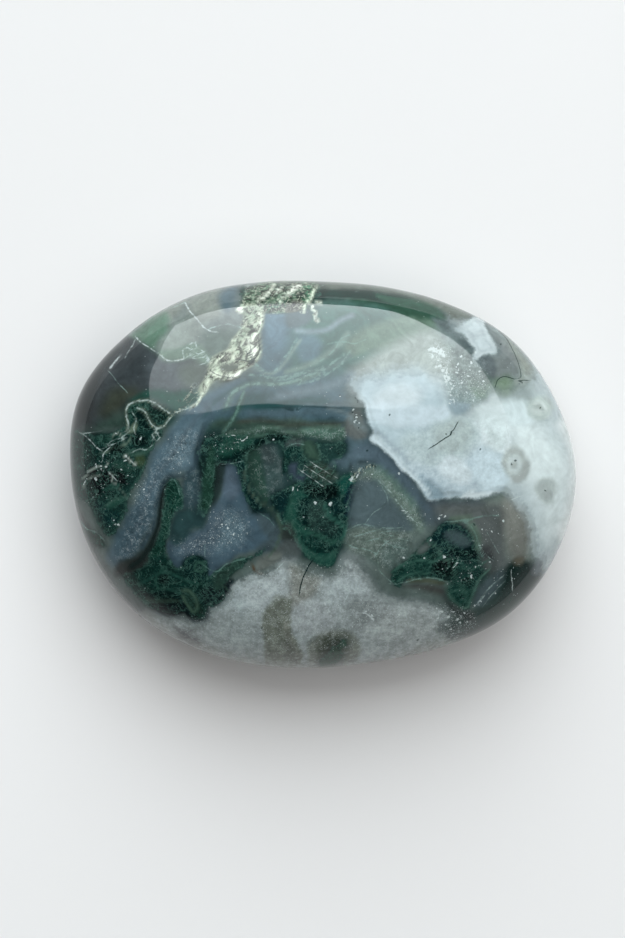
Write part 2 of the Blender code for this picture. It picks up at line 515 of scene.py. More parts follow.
# Finer parts, inside the moss and between its growths, in the same form
DETAILS = (
    # upper right: green haze, and the bands of the rim above it
    ((0.135, 0.215, 0.165), 5, ((345, 343), (370, 325), (400, 321), (426, 325), (418, 338), (400, 348),
     (376, 350), (352, 356))),
    ((0.33, 0.39, 0.36), 8, ((350, 376), (372, 356), (396, 342), (420, 332), (436, 334), (450, 356),
     (446, 376), (400, 376))),
    ((0.125, 0.155, 0.130), 2.5, ((300, 278), (340, 277), (380, 281), (420, 290), (450, 304),
     (472, 316), (458, 322), (440, 309), (420, 300), (400, 294), (380, 291), (350, 289), (314, 289))),
    ((0.010, 0.038, 0.030), 1.8, ((312, 291), (340, 291), (370, 293), (392, 297), (412, 306),
     (390, 304), (364, 299), (340, 298), (312, 298))),
    ((0.030, 0.090, 0.060), 2.5, ((376, 294), (400, 297), (420, 301), (440, 310), (446, 320),
     (430, 317), (412, 311), (392, 304))),
    # blue panels behind the swirls
    ((0.105, 0.190, 0.240), 3, ((268, 312), (272, 308), (284, 311), (285, 330), (281, 344), (272, 348),
     (267, 336))),
    ((0.080, 0.160, 0.190), 5, ((298, 336), (312, 334), (322, 344), (316, 360), (300, 360))),
    ((0.075, 0.118, 0.128), 3, ((286, 312), (304, 309), (312, 318), (300, 326), (287, 326))),
    # the haze and the blue seam that follow the cloud's lower left edge
    ((0.125, 0.145, 0.140), 3, ((350, 411), (361, 409), (366, 424), (368, 436), (356, 440), (344, 432))),
    ((0.080, 0.122, 0.148), 3, ((352, 450), (366, 443), (380, 447), (396, 461), (410, 475), (421, 491),
     (426, 502), (436, 508), (428, 512), (414, 498), (396, 478), (380, 464), (364, 459), (352, 462))),
    ((0.078, 0.104, 0.116), 3, ((428, 501), (450, 501), (476, 500), (486, 504), (476, 509), (450, 509),
     (434, 511))),
    # middle: mint band, black slash, glassy panels and the dark bands beside them
    ((0.050, 0.105, 0.078), 1.6, ((224, 433), (233, 431), (245, 430), (255, 428), (270, 427),
     (282, 432), (291, 434), (306, 431), (320, 429), (338, 427), (343, 430), (345, 436), (343, 441),
     (332, 441), (322, 440), (309, 436), (296, 438), (284, 434), (270, 435), (256, 438), (240, 437))),
    ((0.080, 0.155, 0.122), 1.6, ((300, 432), (322, 430), (338, 428), (344, 433), (342, 440),
     (332, 439), (316, 436))),
    ((0.010, 0.050, 0.036), 2, ((224, 440), (230, 434), (240, 435), (252, 438), (250, 446), (242, 451),
     (232, 455), (222, 459), (219, 450))),
    ((0.014, 0.045, 0.040), 3, ((280, 438), (296, 441), (320, 442), (345, 442), (345, 456), (336, 462),
     (338, 480), (320, 484), (300, 482), (286, 470), (278, 450))),
    ((0.060, 0.078, 0.078), 2.5, ((286, 446), (290, 439), (298, 438), (306, 442), (300, 446), (292, 448))),
    ((0.001, 0.011, 0.010), 1.4, ((214, 465), (220, 459), (230, 455), (240, 451), (250, 447),
     (260, 440), (270, 434), (284, 434), (286, 439), (279, 443), (270, 441), (262, 446), (252, 452),
     (240, 459), (226, 463))),
    ((0.026, 0.066, 0.050), 1.5, ((245, 462), (243, 458), (248, 452), (255, 449), (262, 446),
     (264, 460), (266, 478), (270, 496), (269, 505), (262, 502), (254, 490), (247, 474))),
    ((0.046, 0.082, 0.080), 2.5, ((262, 447), (270, 444), (277, 450), (281, 462), (281, 489),
     (273, 494), (268, 490), (264, 470))),
    ((0.044, 0.068, 0.068), 3, ((260, 448), (268, 446), (274, 452), (276, 462), (268, 464), (262, 458))),
    ((0.002, 0.019, 0.020), 1.8, ((236, 463), (244, 464), (246, 472), (250, 486), (256, 497),
     (264, 506), (262, 514), (255, 516), (249, 502), (243, 484), (238, 472))),
    ((0.003, 0.028, 0.024), 1.6, ((284, 454), (288, 447), (297, 445), (304, 447), (306, 454),
     (304, 464), (299, 462), (298, 454), (292, 452), (288, 462), (284, 474), (281, 470))),
    ((0.048, 0.100, 0.072), 1.6, ((302, 443), (309, 440), (315, 444), (319, 455), (317, 461),
     (309, 459), (304, 451))),
    ((0.062, 0.090, 0.125), 1.2, ((291, 463), (296, 464), (298, 472), (306, 479), (305, 482),
     (297, 478), (291, 475))),
    ((0.030, 0.050, 0.038), 2.5, ((308, 464), (322, 462), (334, 470), (334, 478), (322, 480), (310, 474))),
    ((0.001, 0.006, 0.006), 2, ((302, 488), (310, 482), (322, 484), (336, 484), (340, 494), (330, 500),
     (320, 498), (306, 495))),
    ((0.008, 0.070, 0.054), 2, ((338, 482), (345, 476), (352, 474), (354, 484), (350, 494), (342, 494))),
    ((0.004, 0.024, 0.025), 2, ((272, 494), (282, 490), (291, 493), (294, 490), (289, 502), (285, 514),
     (284, 524), (279, 515), (273, 505))),
    # middle lobe
    ((0.012, 0.064, 0.048), 2, ((296, 490), (306, 494), (310, 520), (306, 534), (318, 552), (336, 552),
     (332, 566), (318, 564), (300, 550), (286, 526), (288, 506))),
    ((0.002, 0.016, 0.015), 2, ((298, 502), (306, 498), (312, 504), (310, 522), (304, 528), (299, 518))),
    ((0.018, 0.044, 0.038), 2.5, ((310, 502), (322, 500), (328, 516), (330, 530), (318, 532), (309, 524))),
    ((0.003, 0.020, 0.020), 1.5, ((328, 503), (334, 498), (342, 500), (346, 508), (343, 516),
     (336, 514), (330, 510))),
    ((0.010, 0.030, 0.027), 2, ((318, 520), (328, 518), (337, 526), (336, 535), (324, 534), (316, 528))),
    ((0.003, 0.024, 0.020), 1.5, ((299, 534), (306, 540), (316, 547), (330, 549), (328, 553),
     (314, 552), (302, 543))),
    ((0.006, 0.024, 0.036), 0.8, ((347, 488), (354, 486), (352, 504), (349, 520), (347, 508))),
    # under the middle: glassy folds, brown-grey water and its pale diagonal
    ((0.060, 0.094, 0.106), 2.5, ((256, 516), (264, 516), (276, 526), (280, 534), (276, 542), (262, 532))),
    ((0.036, 0.050, 0.045), 3, ((282, 528), (290, 522), (296, 534), (298, 546), (288, 544), (281, 540))),
    ((0.085, 0.108, 0.106), 3, ((272, 556), (280, 544), (296, 542), (302, 554), (292, 562), (276, 562))),
    ((0.14, 0.165, 0.150), 3, ((256, 562), (264, 556), (278, 552), (282, 558), (270, 568), (258, 572))),
    # vein: its pale green edge at the rim, its cream neck and foot, and the parts of its crumpled film
    ((0.070, 0.118, 0.078), 2, ((243, 306), (242, 298), (247, 289), (256, 284), (266, 280), (290, 278),
     (306, 280), (319, 284), (314, 294), (309, 303), (303, 309), (292, 311), (280, 314), (268, 313),
     (262, 314), (250, 312))),
    ((0.30, 0.355, 0.27), 1.6, ((244, 304), (252, 303), (262, 302), (264, 310), (264, 322), (261, 332),
     (262, 346), (261, 357), (255, 365), (247, 369), (241, 373), (234, 379), (226, 381), (216, 380),
     (210, 385), (206, 392), (200, 397), (198, 388), (203, 381), (207, 374), (208, 366), (209, 359),
     (221, 352), (229, 348), (232, 341), (237, 334), (242, 327), (245, 317), (239, 311))),
    ((0.20, 0.255, 0.19), 2, ((243, 310), (254, 306), (260, 308), (256, 320), (252, 330), (242, 340),
     (236, 346), (240, 334), (245, 324))),
    ((0.57, 0.62, 0.52), 1.4, ((258, 333), (260, 345), (257, 353), (252, 359), (248, 351), (248, 342),
     (252, 337))),
    ((0.66, 0.70, 0.62), 1.1, ((229, 377), (236, 372), (241, 372), (236, 378), (230, 380))),
    ((0.60, 0.65, 0.56), 1.1, ((237, 308), (242, 307), (244, 311), (240, 314))),
    ((0.035, 0.110, 0.062), 1.5, ((303, 288), (309, 284), (316, 285), (313, 295), (308, 303),
     (304, 309), (301, 300))),
    ((0.045, 0.105, 0.070), 1.6, ((266, 310), (274, 301), (284, 297), (291, 292), (294, 295),
     (287, 302), (278, 309), (270, 313))),
    ((0.095, 0.105, 0.085), 1.6, ((283, 311), (290, 302), (298, 298), (303, 302), (301, 309), (292, 312))),
    ((0.060, 0.080, 0.065), 2.5, ((278, 283), (288, 281), (294, 283), (286, 289), (278, 290))),
    ((0.010, 0.030, 0.020), 1.4, ((296, 291), (302, 288), (305, 294), (300, 300), (296, 297))),
    ((0.11, 0.135, 0.105), 1.2, ((220, 367), (226, 364), (234, 364), (241, 366), (236, 370), (229, 372),
     (223, 371))),
    # green in front of the rings and in them, and the netted edge of the shoulder
    ((0.018, 0.080, 0.058), 4, ((132, 400), (146, 391), (160, 389), (172, 391), (186, 389), (197, 396),
     (190, 405), (176, 410), (168, 405), (156, 398), (142, 398))),
    ((0.008, 0.034, 0.026), 2, ((130, 406), (140, 403), (154, 404), (164, 410), (166, 418), (158, 424),
     (150, 418), (140, 410), (132, 418), (130, 430), (127, 424))),
    ((0.15, 0.225, 0.175), 2.5, ((160, 350), (176, 348), (190, 343), (200, 344), (210, 354), (212, 363),
     (202, 364), (192, 358), (176, 361), (163, 359))),
    # blue triangle and the ribbon of green filaments at its left
    ((0.068, 0.110, 0.138), 4, ((210, 508), (222, 498), (224, 520), (214, 552), (202, 552), (186, 557),
     (180, 549), (172, 549), (167, 544), (174, 538), (190, 533), (204, 526))),
    ((0.088, 0.130, 0.165), 3, ((225, 467), (232, 466), (238, 480), (240, 492), (232, 500), (222, 494))),
    ((0.024, 0.042, 0.040), 3.5, ((214, 464), (224, 466), (223, 482), (220, 492), (214, 505),
     (211, 496), (214, 478))),
    ((0.012, 0.044, 0.030), 2.5, ((206, 450), (213, 446), (215, 460), (214, 486), (212, 502),
     (206, 514), (200, 512), (198, 498), (203, 476))),
    ((0.008, 0.026, 0.024), 2.5, ((196, 446), (204, 440), (208, 450), (205, 466), (200, 480), (196, 470))),
    ((0.048, 0.088, 0.100), 3.5, ((182, 482), (189, 470), (199, 470), (200, 490), (198, 506),
     (190, 512), (183, 505))),
    ((0.024, 0.060, 0.062), 4, ((178, 510), (196, 508), (206, 516), (203, 527), (193, 530), (186, 540),
     (176, 546), (169, 538), (172, 520))),
    # lower left mass
    ((0.006, 0.037, 0.026), 2, ((166, 484), (174, 480), (181, 492), (183, 505), (174, 512), (168, 534),
     (164, 552), (152, 558), (150, 552), (160, 532), (164, 510))),
    ((0.003, 0.024, 0.022), 2, ((184, 560), (192, 554), (202, 556), (208, 564), (207, 578), (198, 582),
     (188, 578), (182, 568))),
    ((0.005, 0.030, 0.024), 3, ((130, 580), (146, 566), (162, 556), (172, 564), (186, 578), (206, 582),
     (204, 590), (180, 588), (160, 592), (140, 590))),
    ((0.001, 0.008, 0.008), 1.5, ((159, 576), (165, 574), (170, 579), (166, 584), (160, 582))),
    ((0.002, 0.014, 0.013), 2, ((142, 592), (156, 590), (172, 592), (182, 598), (176, 600), (156, 598),
     (146, 598))),
    ((0.030, 0.058, 0.044), 1.5, ((143, 598), (158, 598), (176, 599), (180, 602), (164, 603), (148, 602))),
    # painted shadow: the near-black band at the foot of the lower left mass
    ((0.003, 0.009, 0.011), 2.5, ((150, 605), (164, 603), (182, 603), (188, 611), (172, 616), (156, 613))),
    ((0.006, 0.018, 0.018), 2.5, ((200, 590), (212, 586), (224, 584), (230, 578), (234, 582),
     (226, 600), (214, 606), (206, 606), (202, 598))),
    ((0.003, 0.012, 0.014), 2, ((182, 600), (190, 612), (198, 619), (206, 616), (207, 606), (210, 616),
     (204, 624), (192, 622), (184, 612))),
    ((0.013, 0.040, 0.030), 1.4, ((183, 590), (190, 591), (197, 598), (203, 607), (203, 614),
     (198, 617), (192, 612), (186, 603))),
    ((0.022, 0.054, 0.042), 2, ((213, 577), (220, 569), (232, 562), (240, 559), (241, 567), (234, 572),
     (228, 579), (222, 587), (215, 592), (213, 585))),
    ((0.027, 0.034, 0.031), 4, ((116, 566), (128, 560), (142, 556), (148, 560), (140, 568), (126, 576),
     (114, 576))),
    # left body
    ((0.004, 0.027, 0.023), 4, ((84, 434), (112, 434), (124, 440), (120, 450), (108, 460), (88, 462),
     (84, 450))),
    ((0.0008, 0.004, 0.005), 3, ((88, 470), (96, 466), (106, 470), (110, 480), (107, 490), (100, 497),
     (93, 494), (87, 482))),
    ((0.0008, 0.004, 0.005), 3, ((106, 474), (118, 470), (128, 478), (124, 488), (112, 492), (104, 486))),
    ((0.010, 0.044, 0.034), 2.5, ((96, 438), (108, 434), (118, 437), (114, 442), (102, 444))),
    ((0.014, 0.050, 0.038), 2, ((112, 464), (122, 461), (134, 468), (128, 473), (116, 470))),
    ((0.001, 0.006, 0.006), 1.5, ((109, 447), (118, 444), (125, 447), (123, 451), (112, 452))),
    ((0.001, 0.007, 0.007), 2, ((131, 436), (137, 433), (146, 436), (148, 444), (138, 446), (132, 442))),
    ((0.002, 0.012, 0.011), 2, ((137, 412), (146, 409), (150, 418), (156, 426), (148, 432), (140, 424))),
    ((0.006, 0.022, 0.018), 2, ((148, 404), (158, 406), (166, 412), (164, 420), (156, 422), (150, 414))),
    ((0.12, 0.17, 0.12), 1.2, ((128, 433), (131, 427), (136, 422), (138, 427), (136, 431), (131, 434))),
    ((0.030, 0.078, 0.058), 2, ((126, 453), (138, 451), (150, 449), (148, 454), (136, 456), (127, 456))),
    ((0.040, 0.070, 0.036), 2.5, ((136, 457), (143, 455), (147, 461), (142, 467), (136, 465))),
    ((0.018, 0.072, 0.054), 2, ((104, 508), (112, 502), (122, 498), (124, 502), (114, 508), (106, 512))),
    ((0.016, 0.060, 0.046), 2, ((103, 490), (112, 484), (120, 484), (118, 489), (110, 492))),
    ((0.004, 0.028, 0.028), 3, ((98, 500), (112, 512), (120, 516), (114, 526), (104, 526), (96, 514))),
    ((0.012, 0.040, 0.028), 2, ((82, 523), (88, 528), (96, 532), (104, 544), (100, 548), (90, 540))),
    # window right of the middle, its mint fibres, and the brown-grey and black right of the right moss
    ((0.088, 0.130, 0.140), 3, ((355, 486), (363, 481), (375, 480), (382, 484), (390, 494), (400, 507),
     (409, 520), (413, 530), (391, 530), (364, 526), (350, 528), (349, 521), (352, 502))),
    ((0.125, 0.170, 0.148), 4, ((348, 530), (364, 527), (391, 531), (414, 533), (402, 541), (388, 549),
     (380, 560), (384, 572), (372, 558), (352, 552), (345, 542))),
    ((0.105, 0.155, 0.140), 3, ((384, 546), (396, 541), (408, 544), (410, 556), (400, 565), (390, 572),
     (382, 560))),
    ((0.135, 0.195, 0.165), 1.8, ((363, 467), (376, 472), (386, 477), (394, 483), (399, 491),
     (408, 500), (417, 511), (422, 521), (424, 529), (419, 532), (415, 524), (410, 517), (403, 508),
     (397, 500), (391, 493), (384, 484), (378, 478), (366, 475))),
    ((0.104, 0.122, 0.118), 7, ((436, 506), (460, 503), (490, 503), (508, 506), (508, 530), (504, 560),
     (492, 576), (482, 560), (476, 540), (458, 521), (440, 518))),
    ((0.225, 0.240, 0.215), 7, ((504, 500), (522, 506), (532, 530), (526, 556), (512, 556), (506, 530))),
    ((0.011, 0.030, 0.026), 4, ((506, 570), (516, 561), (530, 562), (542, 572), (534, 588), (518, 602),
     (500, 616), (486, 620), (490, 606), (500, 592))),
    ((0.024, 0.062, 0.038), 3, ((320, 664), (325, 655), (332, 648), (340, 642), (347, 640), (347, 646),
     (343, 656), (338, 663), (326, 668))),
    # right moss
    ((0.007, 0.038, 0.030), 2.5, ((392, 570), (406, 560), (420, 552), (432, 556), (430, 570),
     (410, 576), (398, 584))),
    ((0.003, 0.021, 0.023), 2.5, ((424, 545), (434, 531), (444, 522), (456, 522), (466, 528),
     (474, 538), (478, 550), (474, 558), (462, 560), (450, 556), (440, 552), (430, 552))),
    ((0.058, 0.092, 0.098), 2.2, ((443, 534), (452, 530), (461, 533), (469, 539), (471, 545),
     (463, 547), (452, 543))),
    ((0.001, 0.010, 0.010), 1.8, ((444, 546), (452, 547), (462, 551), (473, 549), (477, 556),
     (466, 560), (454, 556), (446, 549))),
    ((0.001, 0.006, 0.006), 2, ((433, 567), (440, 560), (450, 559), (456, 566), (451, 576), (440, 576))),
    ((0.001, 0.008, 0.008), 1.4, ((462, 581), (468, 578), (473, 580), (468, 585))),
    ((0.007, 0.040, 0.032), 2.5, ((448, 590), (456, 584), (470, 588), (474, 592), (468, 606),
     (458, 606), (448, 597))),
    ((0.12, 0.15, 0.14), 1.5, ((417, 552), (421, 546), (427, 543), (429, 547), (423, 553))),
    ((0.10, 0.12, 0.08), 1.5, ((408, 579), (420, 578), (434, 579), (446, 583), (442, 585), (426, 582),
     (410, 582))),
    ((0.060, 0.068, 0.062), 3.5, ((404, 586), (420, 583), (440, 586), (445, 594), (436, 594), (420, 589))),
    ((0.028, 0.040, 0.038), 3.5, ((444, 596), (450, 603), (460, 611), (470, 612), (474, 620),
     (460, 616), (448, 608))),
    ((0.110, 0.155, 0.122), 2, ((447, 517), (456, 515), (470, 515), (474, 520), (464, 522), (452, 522))),
    ((0.13, 0.20, 0.155), 2.5, ((466, 524), (474, 524), (480, 536), (481, 550), (477, 550), (474, 538))),
    ((0.052, 0.060, 0.060), 4, ((480, 550), (488, 545), (494, 552), (492, 560), (484, 558))),
    ((0.135, 0.130, 0.100), 3, ((514, 560), (519, 556), (525, 557), (523, 563), (517, 565))),
    ((0.11, 0.14, 0.150), 3, ((536, 560), (544, 556), (546, 566), (538, 576), (532, 572))),
    ((0.066, 0.096, 0.102), 4, ((476, 592), (486, 580), (500, 570), (505, 575), (498, 590), (484, 604),
     (474, 606))),
    ((0.022, 0.048, 0.038), 4, ((500, 606), (512, 596), (524, 592), (516, 606), (500, 618), (484, 626),
     (484, 618))),
)
# Strokes: colour, half-width and softness in pixels, and line
STROKES = (
    # folds of the vein: dark gashes, bright creases and olive creases
    ((0.006, 0.026, 0.016), 2.2, 1.0, ((260, 303), (267, 297), (275, 291), (283, 286))),
    ((0.006, 0.025, 0.015), 1.3, 0.9, ((275, 311), (284, 304), (292, 296))),
    ((0.52, 0.56, 0.47), 1.4, 0.9, ((258, 300), (266, 294), (271, 288), (274, 284))),
    ((0.56, 0.61, 0.52), 1.2, 0.8, ((274, 292), (281, 287))),
    ((0.60, 0.63, 0.55), 2.0, 1.0, ((288, 293), (293, 288), (299, 285))),
    ((0.46, 0.53, 0.43), 1.3, 0.9, ((278, 302), (283, 297), (289, 291))),
    ((0.56, 0.63, 0.50), 1.2, 0.8, ((317, 286), (312, 294), (309, 301), (305, 304), (303, 312))),
    ((0.55, 0.61, 0.50), 1.3, 0.8, ((259, 313), (257, 318), (254, 324))),
    ((0.55, 0.61, 0.50), 1.2, 0.8, ((263, 315), (261, 322), (258, 330))),
    ((0.50, 0.56, 0.46), 1.2, 0.8, ((244, 345), (250, 338), (256, 334))),
    ((0.58, 0.63, 0.52), 1.4, 0.8, ((212, 372), (222, 376), (232, 374), (243, 369), (254, 363))),
    ((0.55, 0.60, 0.48), 1.3, 0.8, ((212, 363), (220, 358), (230, 356), (240, 359))),
    ((0.50, 0.57, 0.46), 1.2, 0.8, ((208, 380), (206, 388), (201, 396), (196, 403), (190, 407))),
    ((0.035, 0.050, 0.030), 1.4, 0.8, ((245, 309), (249, 312))),
    ((0.040, 0.055, 0.035), 1.4, 0.8, ((247, 320), (248, 324))),
    ((0.045, 0.065, 0.040), 1.3, 0.8, ((258, 316), (255, 322))),
    ((0.055, 0.070, 0.040), 1.2, 0.8, ((244, 330), (250, 332), (257, 330))),
    ((0.045, 0.055, 0.030), 1.1, 0.8, ((260, 338), (259, 350), (254, 360), (250, 365))),
    ((0.055, 0.065, 0.035), 1.0, 0.8, ((243, 351), (247, 358), (250, 364))),
    ((0.055, 0.065, 0.035), 1.1, 0.8, ((238, 361), (245, 362), (250, 365), (243, 368), (232, 372))),
    ((0.050, 0.075, 0.045), 1.2, 0.8, ((222, 353), (216, 359), (211, 366), (208, 374))),
    ((0.060, 0.080, 0.050), 1.1, 0.8, ((234, 352), (228, 359), (220, 362))),
    ((0.045, 0.060, 0.035), 1.1, 0.8, ((211, 375), (219, 379), (229, 380), (238, 377))),
    ((0.50, 0.57, 0.49), 1.4, 0.9, ((321, 302), (315, 304), (312, 309), (316, 313), (315, 318),
     (318, 321))),
    ((0.10, 0.175, 0.135), 1.2, 1.0, ((229, 432), (246, 431), (263, 429), (274, 428), (283, 431),
     (291, 433), (303, 431), (317, 429), (336, 426), (344, 430))),
    ((0.070, 0.115, 0.085), 1.0, 0.9, ((245, 472), (246, 481), (250, 491), (255, 498), (262, 504),
     (269, 508), (275, 513), (280, 523), (281, 533), (277, 545), (270, 556))),
    ((0.075, 0.110, 0.110), 0.9, 0.9, ((281, 460), (279, 474), (281, 490))),
    ((0.13, 0.17, 0.13), 1.2, 1.0, ((127, 432), (128, 424), (127, 416), (127, 409), (130, 404),
     (138, 401), (149, 400), (158, 404), (164, 409), (172, 414))),
    ((0.11, 0.15, 0.115), 1.2, 1.0, ((172, 415), (168, 419), (165, 425), (160, 428), (153, 425),
     (149, 418), (145, 411), (139, 408))),
    ((0.014, 0.026, 0.024), 2.4, 1.2, ((165, 486), (161, 500), (160, 515), (156, 532), (149, 548),
     (140, 560), (130, 568))),
    ((0.12, 0.19, 0.155), 0.9, 0.8, ((319, 485), (328, 481), (335, 477), (340, 480))),
    # curl in the lower left mass, and the finger's pale outline
    ((0.034, 0.095, 0.070), 1.2, 0.9, ((195, 567), (198, 562), (203, 563), (205, 568), (201, 572),
     (196, 570))),
    ((0.060, 0.115, 0.080), 1.2, 0.9, ((183, 591), (189, 590), (196, 599), (197, 609), (193, 612),
     (187, 604), (183, 596))),
    ((0.030, 0.105, 0.080), 1.6, 0.8, ((325, 505), (328, 514), (334, 520), (342, 525), (346, 531),
     (342, 539))),
    ((0.026, 0.090, 0.066), 1.6, 0.8, ((303, 528), (307, 533), (315, 534), (323, 538), (331, 542),
     (336, 541))),
    ((0.030, 0.098, 0.074), 1.4, 0.8, ((297, 537), (303, 547), (311, 554), (320, 558), (328, 558),
     (334, 551))),
    ((0.022, 0.080, 0.058), 1.4, 0.8, ((293, 497), (291, 508), (291, 518), (295, 528))),
    # lit filaments of the right moss
    ((0.10, 0.20, 0.155), 0.7, 0.7, ((446, 583), (447, 592), (452, 600), (460, 607), (467, 607),
     (471, 599), (475, 589), (480, 579), (489, 570))),
    ((0.045, 0.125, 0.096), 0.8, 0.8, ((392, 571), (399, 566), (410, 562), (422, 560), (432, 562),
     (440, 558))),
    ((0.050, 0.135, 0.104), 0.8, 0.8, ((398, 580), (408, 574), (420, 572), (430, 574))),
    ((0.060, 0.145, 0.112), 0.7, 0.7, ((456, 560), (453, 568), (455, 578), (460, 586), (468, 592))),
    ((0.080, 0.170, 0.130), 0.7, 0.7, ((428, 541), (434, 546), (439, 552), (443, 560), (452, 558))),
    ((0.050, 0.130, 0.100), 0.7, 0.7, ((462, 566), (470, 570), (478, 566), (486, 562))),
    ((0.050, 0.130, 0.100), 0.7, 0.7, ((452, 592), (459, 590), (466, 594), (464, 602))),
    # folds of the lower left mass
    ((0.020, 0.075, 0.058), 0.9, 0.8, ((138, 585), (150, 578), (163, 572), (174, 574), (186, 580),
     (198, 584))),
    ((0.018, 0.065, 0.050), 0.8, 0.8, ((150, 592), (160, 588), (172, 590), (182, 594))),
    ((0.022, 0.080, 0.060), 0.8, 0.8, ((166, 566), (160, 572), (156, 580), (158, 588))),
    ((0.015, 0.055, 0.044), 0.8, 0.8, ((170, 500), (166, 516), (162, 532), (160, 546))),
    ((0.055, 0.105, 0.080), 0.7, 0.7, ((222, 586), (228, 590), (233, 595))),
    # pale crusts round the black hollows of the left body
    ((0.30, 0.36, 0.32), 0.6, 0.6, ((88, 474), (92, 468), (96, 470), (99, 465), (104, 468), (108, 464))),
    ((0.24, 0.30, 0.26), 0.6, 0.6, ((84, 487), (82, 481), (86, 476), (90, 478), (96, 474), (101, 476))),
    ((0.32, 0.38, 0.34), 0.6, 0.6, ((109, 473), (113, 477), (112, 482), (116, 484))),
    ((0.36, 0.42, 0.36), 0.7, 0.6, ((122, 455), (127, 457), (130, 461), (134, 464), (137, 465))),
    ((0.14, 0.21, 0.16), 0.7, 0.7, ((104, 453), (112, 449), (120, 447), (127, 443), (131, 438))),
    ((0.26, 0.32, 0.27), 0.7, 0.6, ((112, 437), (116, 433), (121, 436), (124, 441))),
    ((0.060, 0.130, 0.100), 0.8, 0.8, ((104, 509), (110, 504), (117, 500), (124, 499))),
    ((0.10, 0.16, 0.13), 0.6, 0.6, ((120, 490), (124, 494), (128, 499))),
    ((0.055, 0.120, 0.092), 0.8, 0.8, ((128, 452), (138, 454), (148, 451), (154, 446))),
    ((0.10, 0.060, 0.028), 0.9, 0.8, ((253, 564), (254, 569), (258, 573), (263, 575))),
    ((0.10, 0.155, 0.185), 2.0, 1.5, ((331, 464), (342, 460), (354, 456), (366, 455))),
    ((0.035, 0.055, 0.060), 1.2, 1.0, ((350, 466), (360, 462), (370, 460), (376, 460))),
    ((0.17, 0.22, 0.225), 2.2, 2.5, ((330, 409), (345, 413), (356, 422), (366, 430))),
    ((0.085, 0.140, 0.165), 2.5, 2.5, ((250, 413), (275, 414), (300, 413), (325, 412), (345, 416))),
    ((0.05, 0.065, 0.052), 2.0, 2.0, ((240, 421), (262, 420), (280, 424), (300, 425), (325, 424),
     (345, 424))),
    ((0.045, 0.095, 0.105), 2.5, 2.0, ((204, 414), (214, 402), (228, 392), (244, 384), (258, 378))),
    ((0.17, 0.260, 0.235), 1.4, 1.3, ((255, 366), (262, 372), (272, 374), (282, 366), (292, 352),
     (300, 340))),
    ((0.155, 0.250, 0.215), 2.6, 2.0, ((286, 372), (304, 366), (322, 358), (338, 346), (348, 334))),
    ((0.085, 0.15, 0.14), 2.0, 2.0, ((250, 376), (270, 379), (290, 377), (312, 371), (334, 366),
     (350, 356))),
    ((0.10, 0.175, 0.15), 2.4, 1.8, ((226, 406), (232, 394), (242, 387), (258, 383), (280, 384),
     (300, 380), (318, 374))),
    ((0.060, 0.115, 0.090), 2.0, 1.5, ((244, 392), (240, 402), (236, 412), (230, 422), (222, 432))),
    ((0.165, 0.240, 0.265), 2.4, 2.0, ((297, 330), (314, 331), (328, 329), (340, 321), (352, 316))),
    ((0.065, 0.120, 0.135), 3.0, 2.5, ((270, 400), (300, 392), (330, 388), (350, 380))),
    ((0.125, 0.190, 0.215), 3.5, 3.5, ((280, 396), (310, 390), (336, 384), (352, 374))),
    ((0.080, 0.125, 0.150), 2.0, 2.0, ((210, 404), (196, 418), (184, 436), (170, 458), (156, 478),
     (146, 500), (138, 528), (124, 556))),
    ((0.040, 0.070, 0.085), 1.8, 1.6, ((204, 424), (200, 440), (196, 462), (186, 474), (168, 478),
     (158, 498), (154, 524), (142, 548))),
)

# Veils: the milky cloud, the granular quartz and the white patch at the upper right, their outlines
# first, then the colours within them
MILK = (0.50, 0.59, 0.60)
VEILS = (
    ((353, 383), (360, 377), (370, 373), (383, 371), (404, 367), (426, 369), (450, 376), (470, 384),
     (500, 384), (524, 378), (536, 360), (528, 340), (560, 340), (640, 400), (640, 580), (560, 600),
     (548, 572), (532, 552), (530, 530), (524, 514), (511, 499), (502, 491), (494, 494), (476, 498),
     (461, 497), (447, 498), (432, 500), (426, 498), (423, 491), (417, 483), (408, 474), (399, 465),
     (392, 458), (385, 451), (377, 445), (371, 441), (370, 436), (372, 430), (369, 423), (366, 414),
     (364, 404), (357, 396)),
    ((140, 612), (170, 616), (197, 623), (214, 609), (227, 596), (236, 582), (252, 575), (268, 572),
     (284, 560), (296, 563), (304, 571), (322, 576), (334, 576), (341, 566), (350, 558), (359, 564),
     (368, 578), (379, 592), (398, 601), (416, 601), (434, 605), (448, 617), (440, 632), (470, 640),
     (500, 640), (440, 720), (200, 720), (140, 680)),
    ((455, 325), (461, 321), (468, 321), (474, 317), (482, 318), (485, 326), (489, 333), (494, 340),
     (498, 348), (495, 354), (488, 354), (482, 357), (476, 361), (472, 356), (474, 349), (469, 342),
     (463, 336), (457, 332)),
)
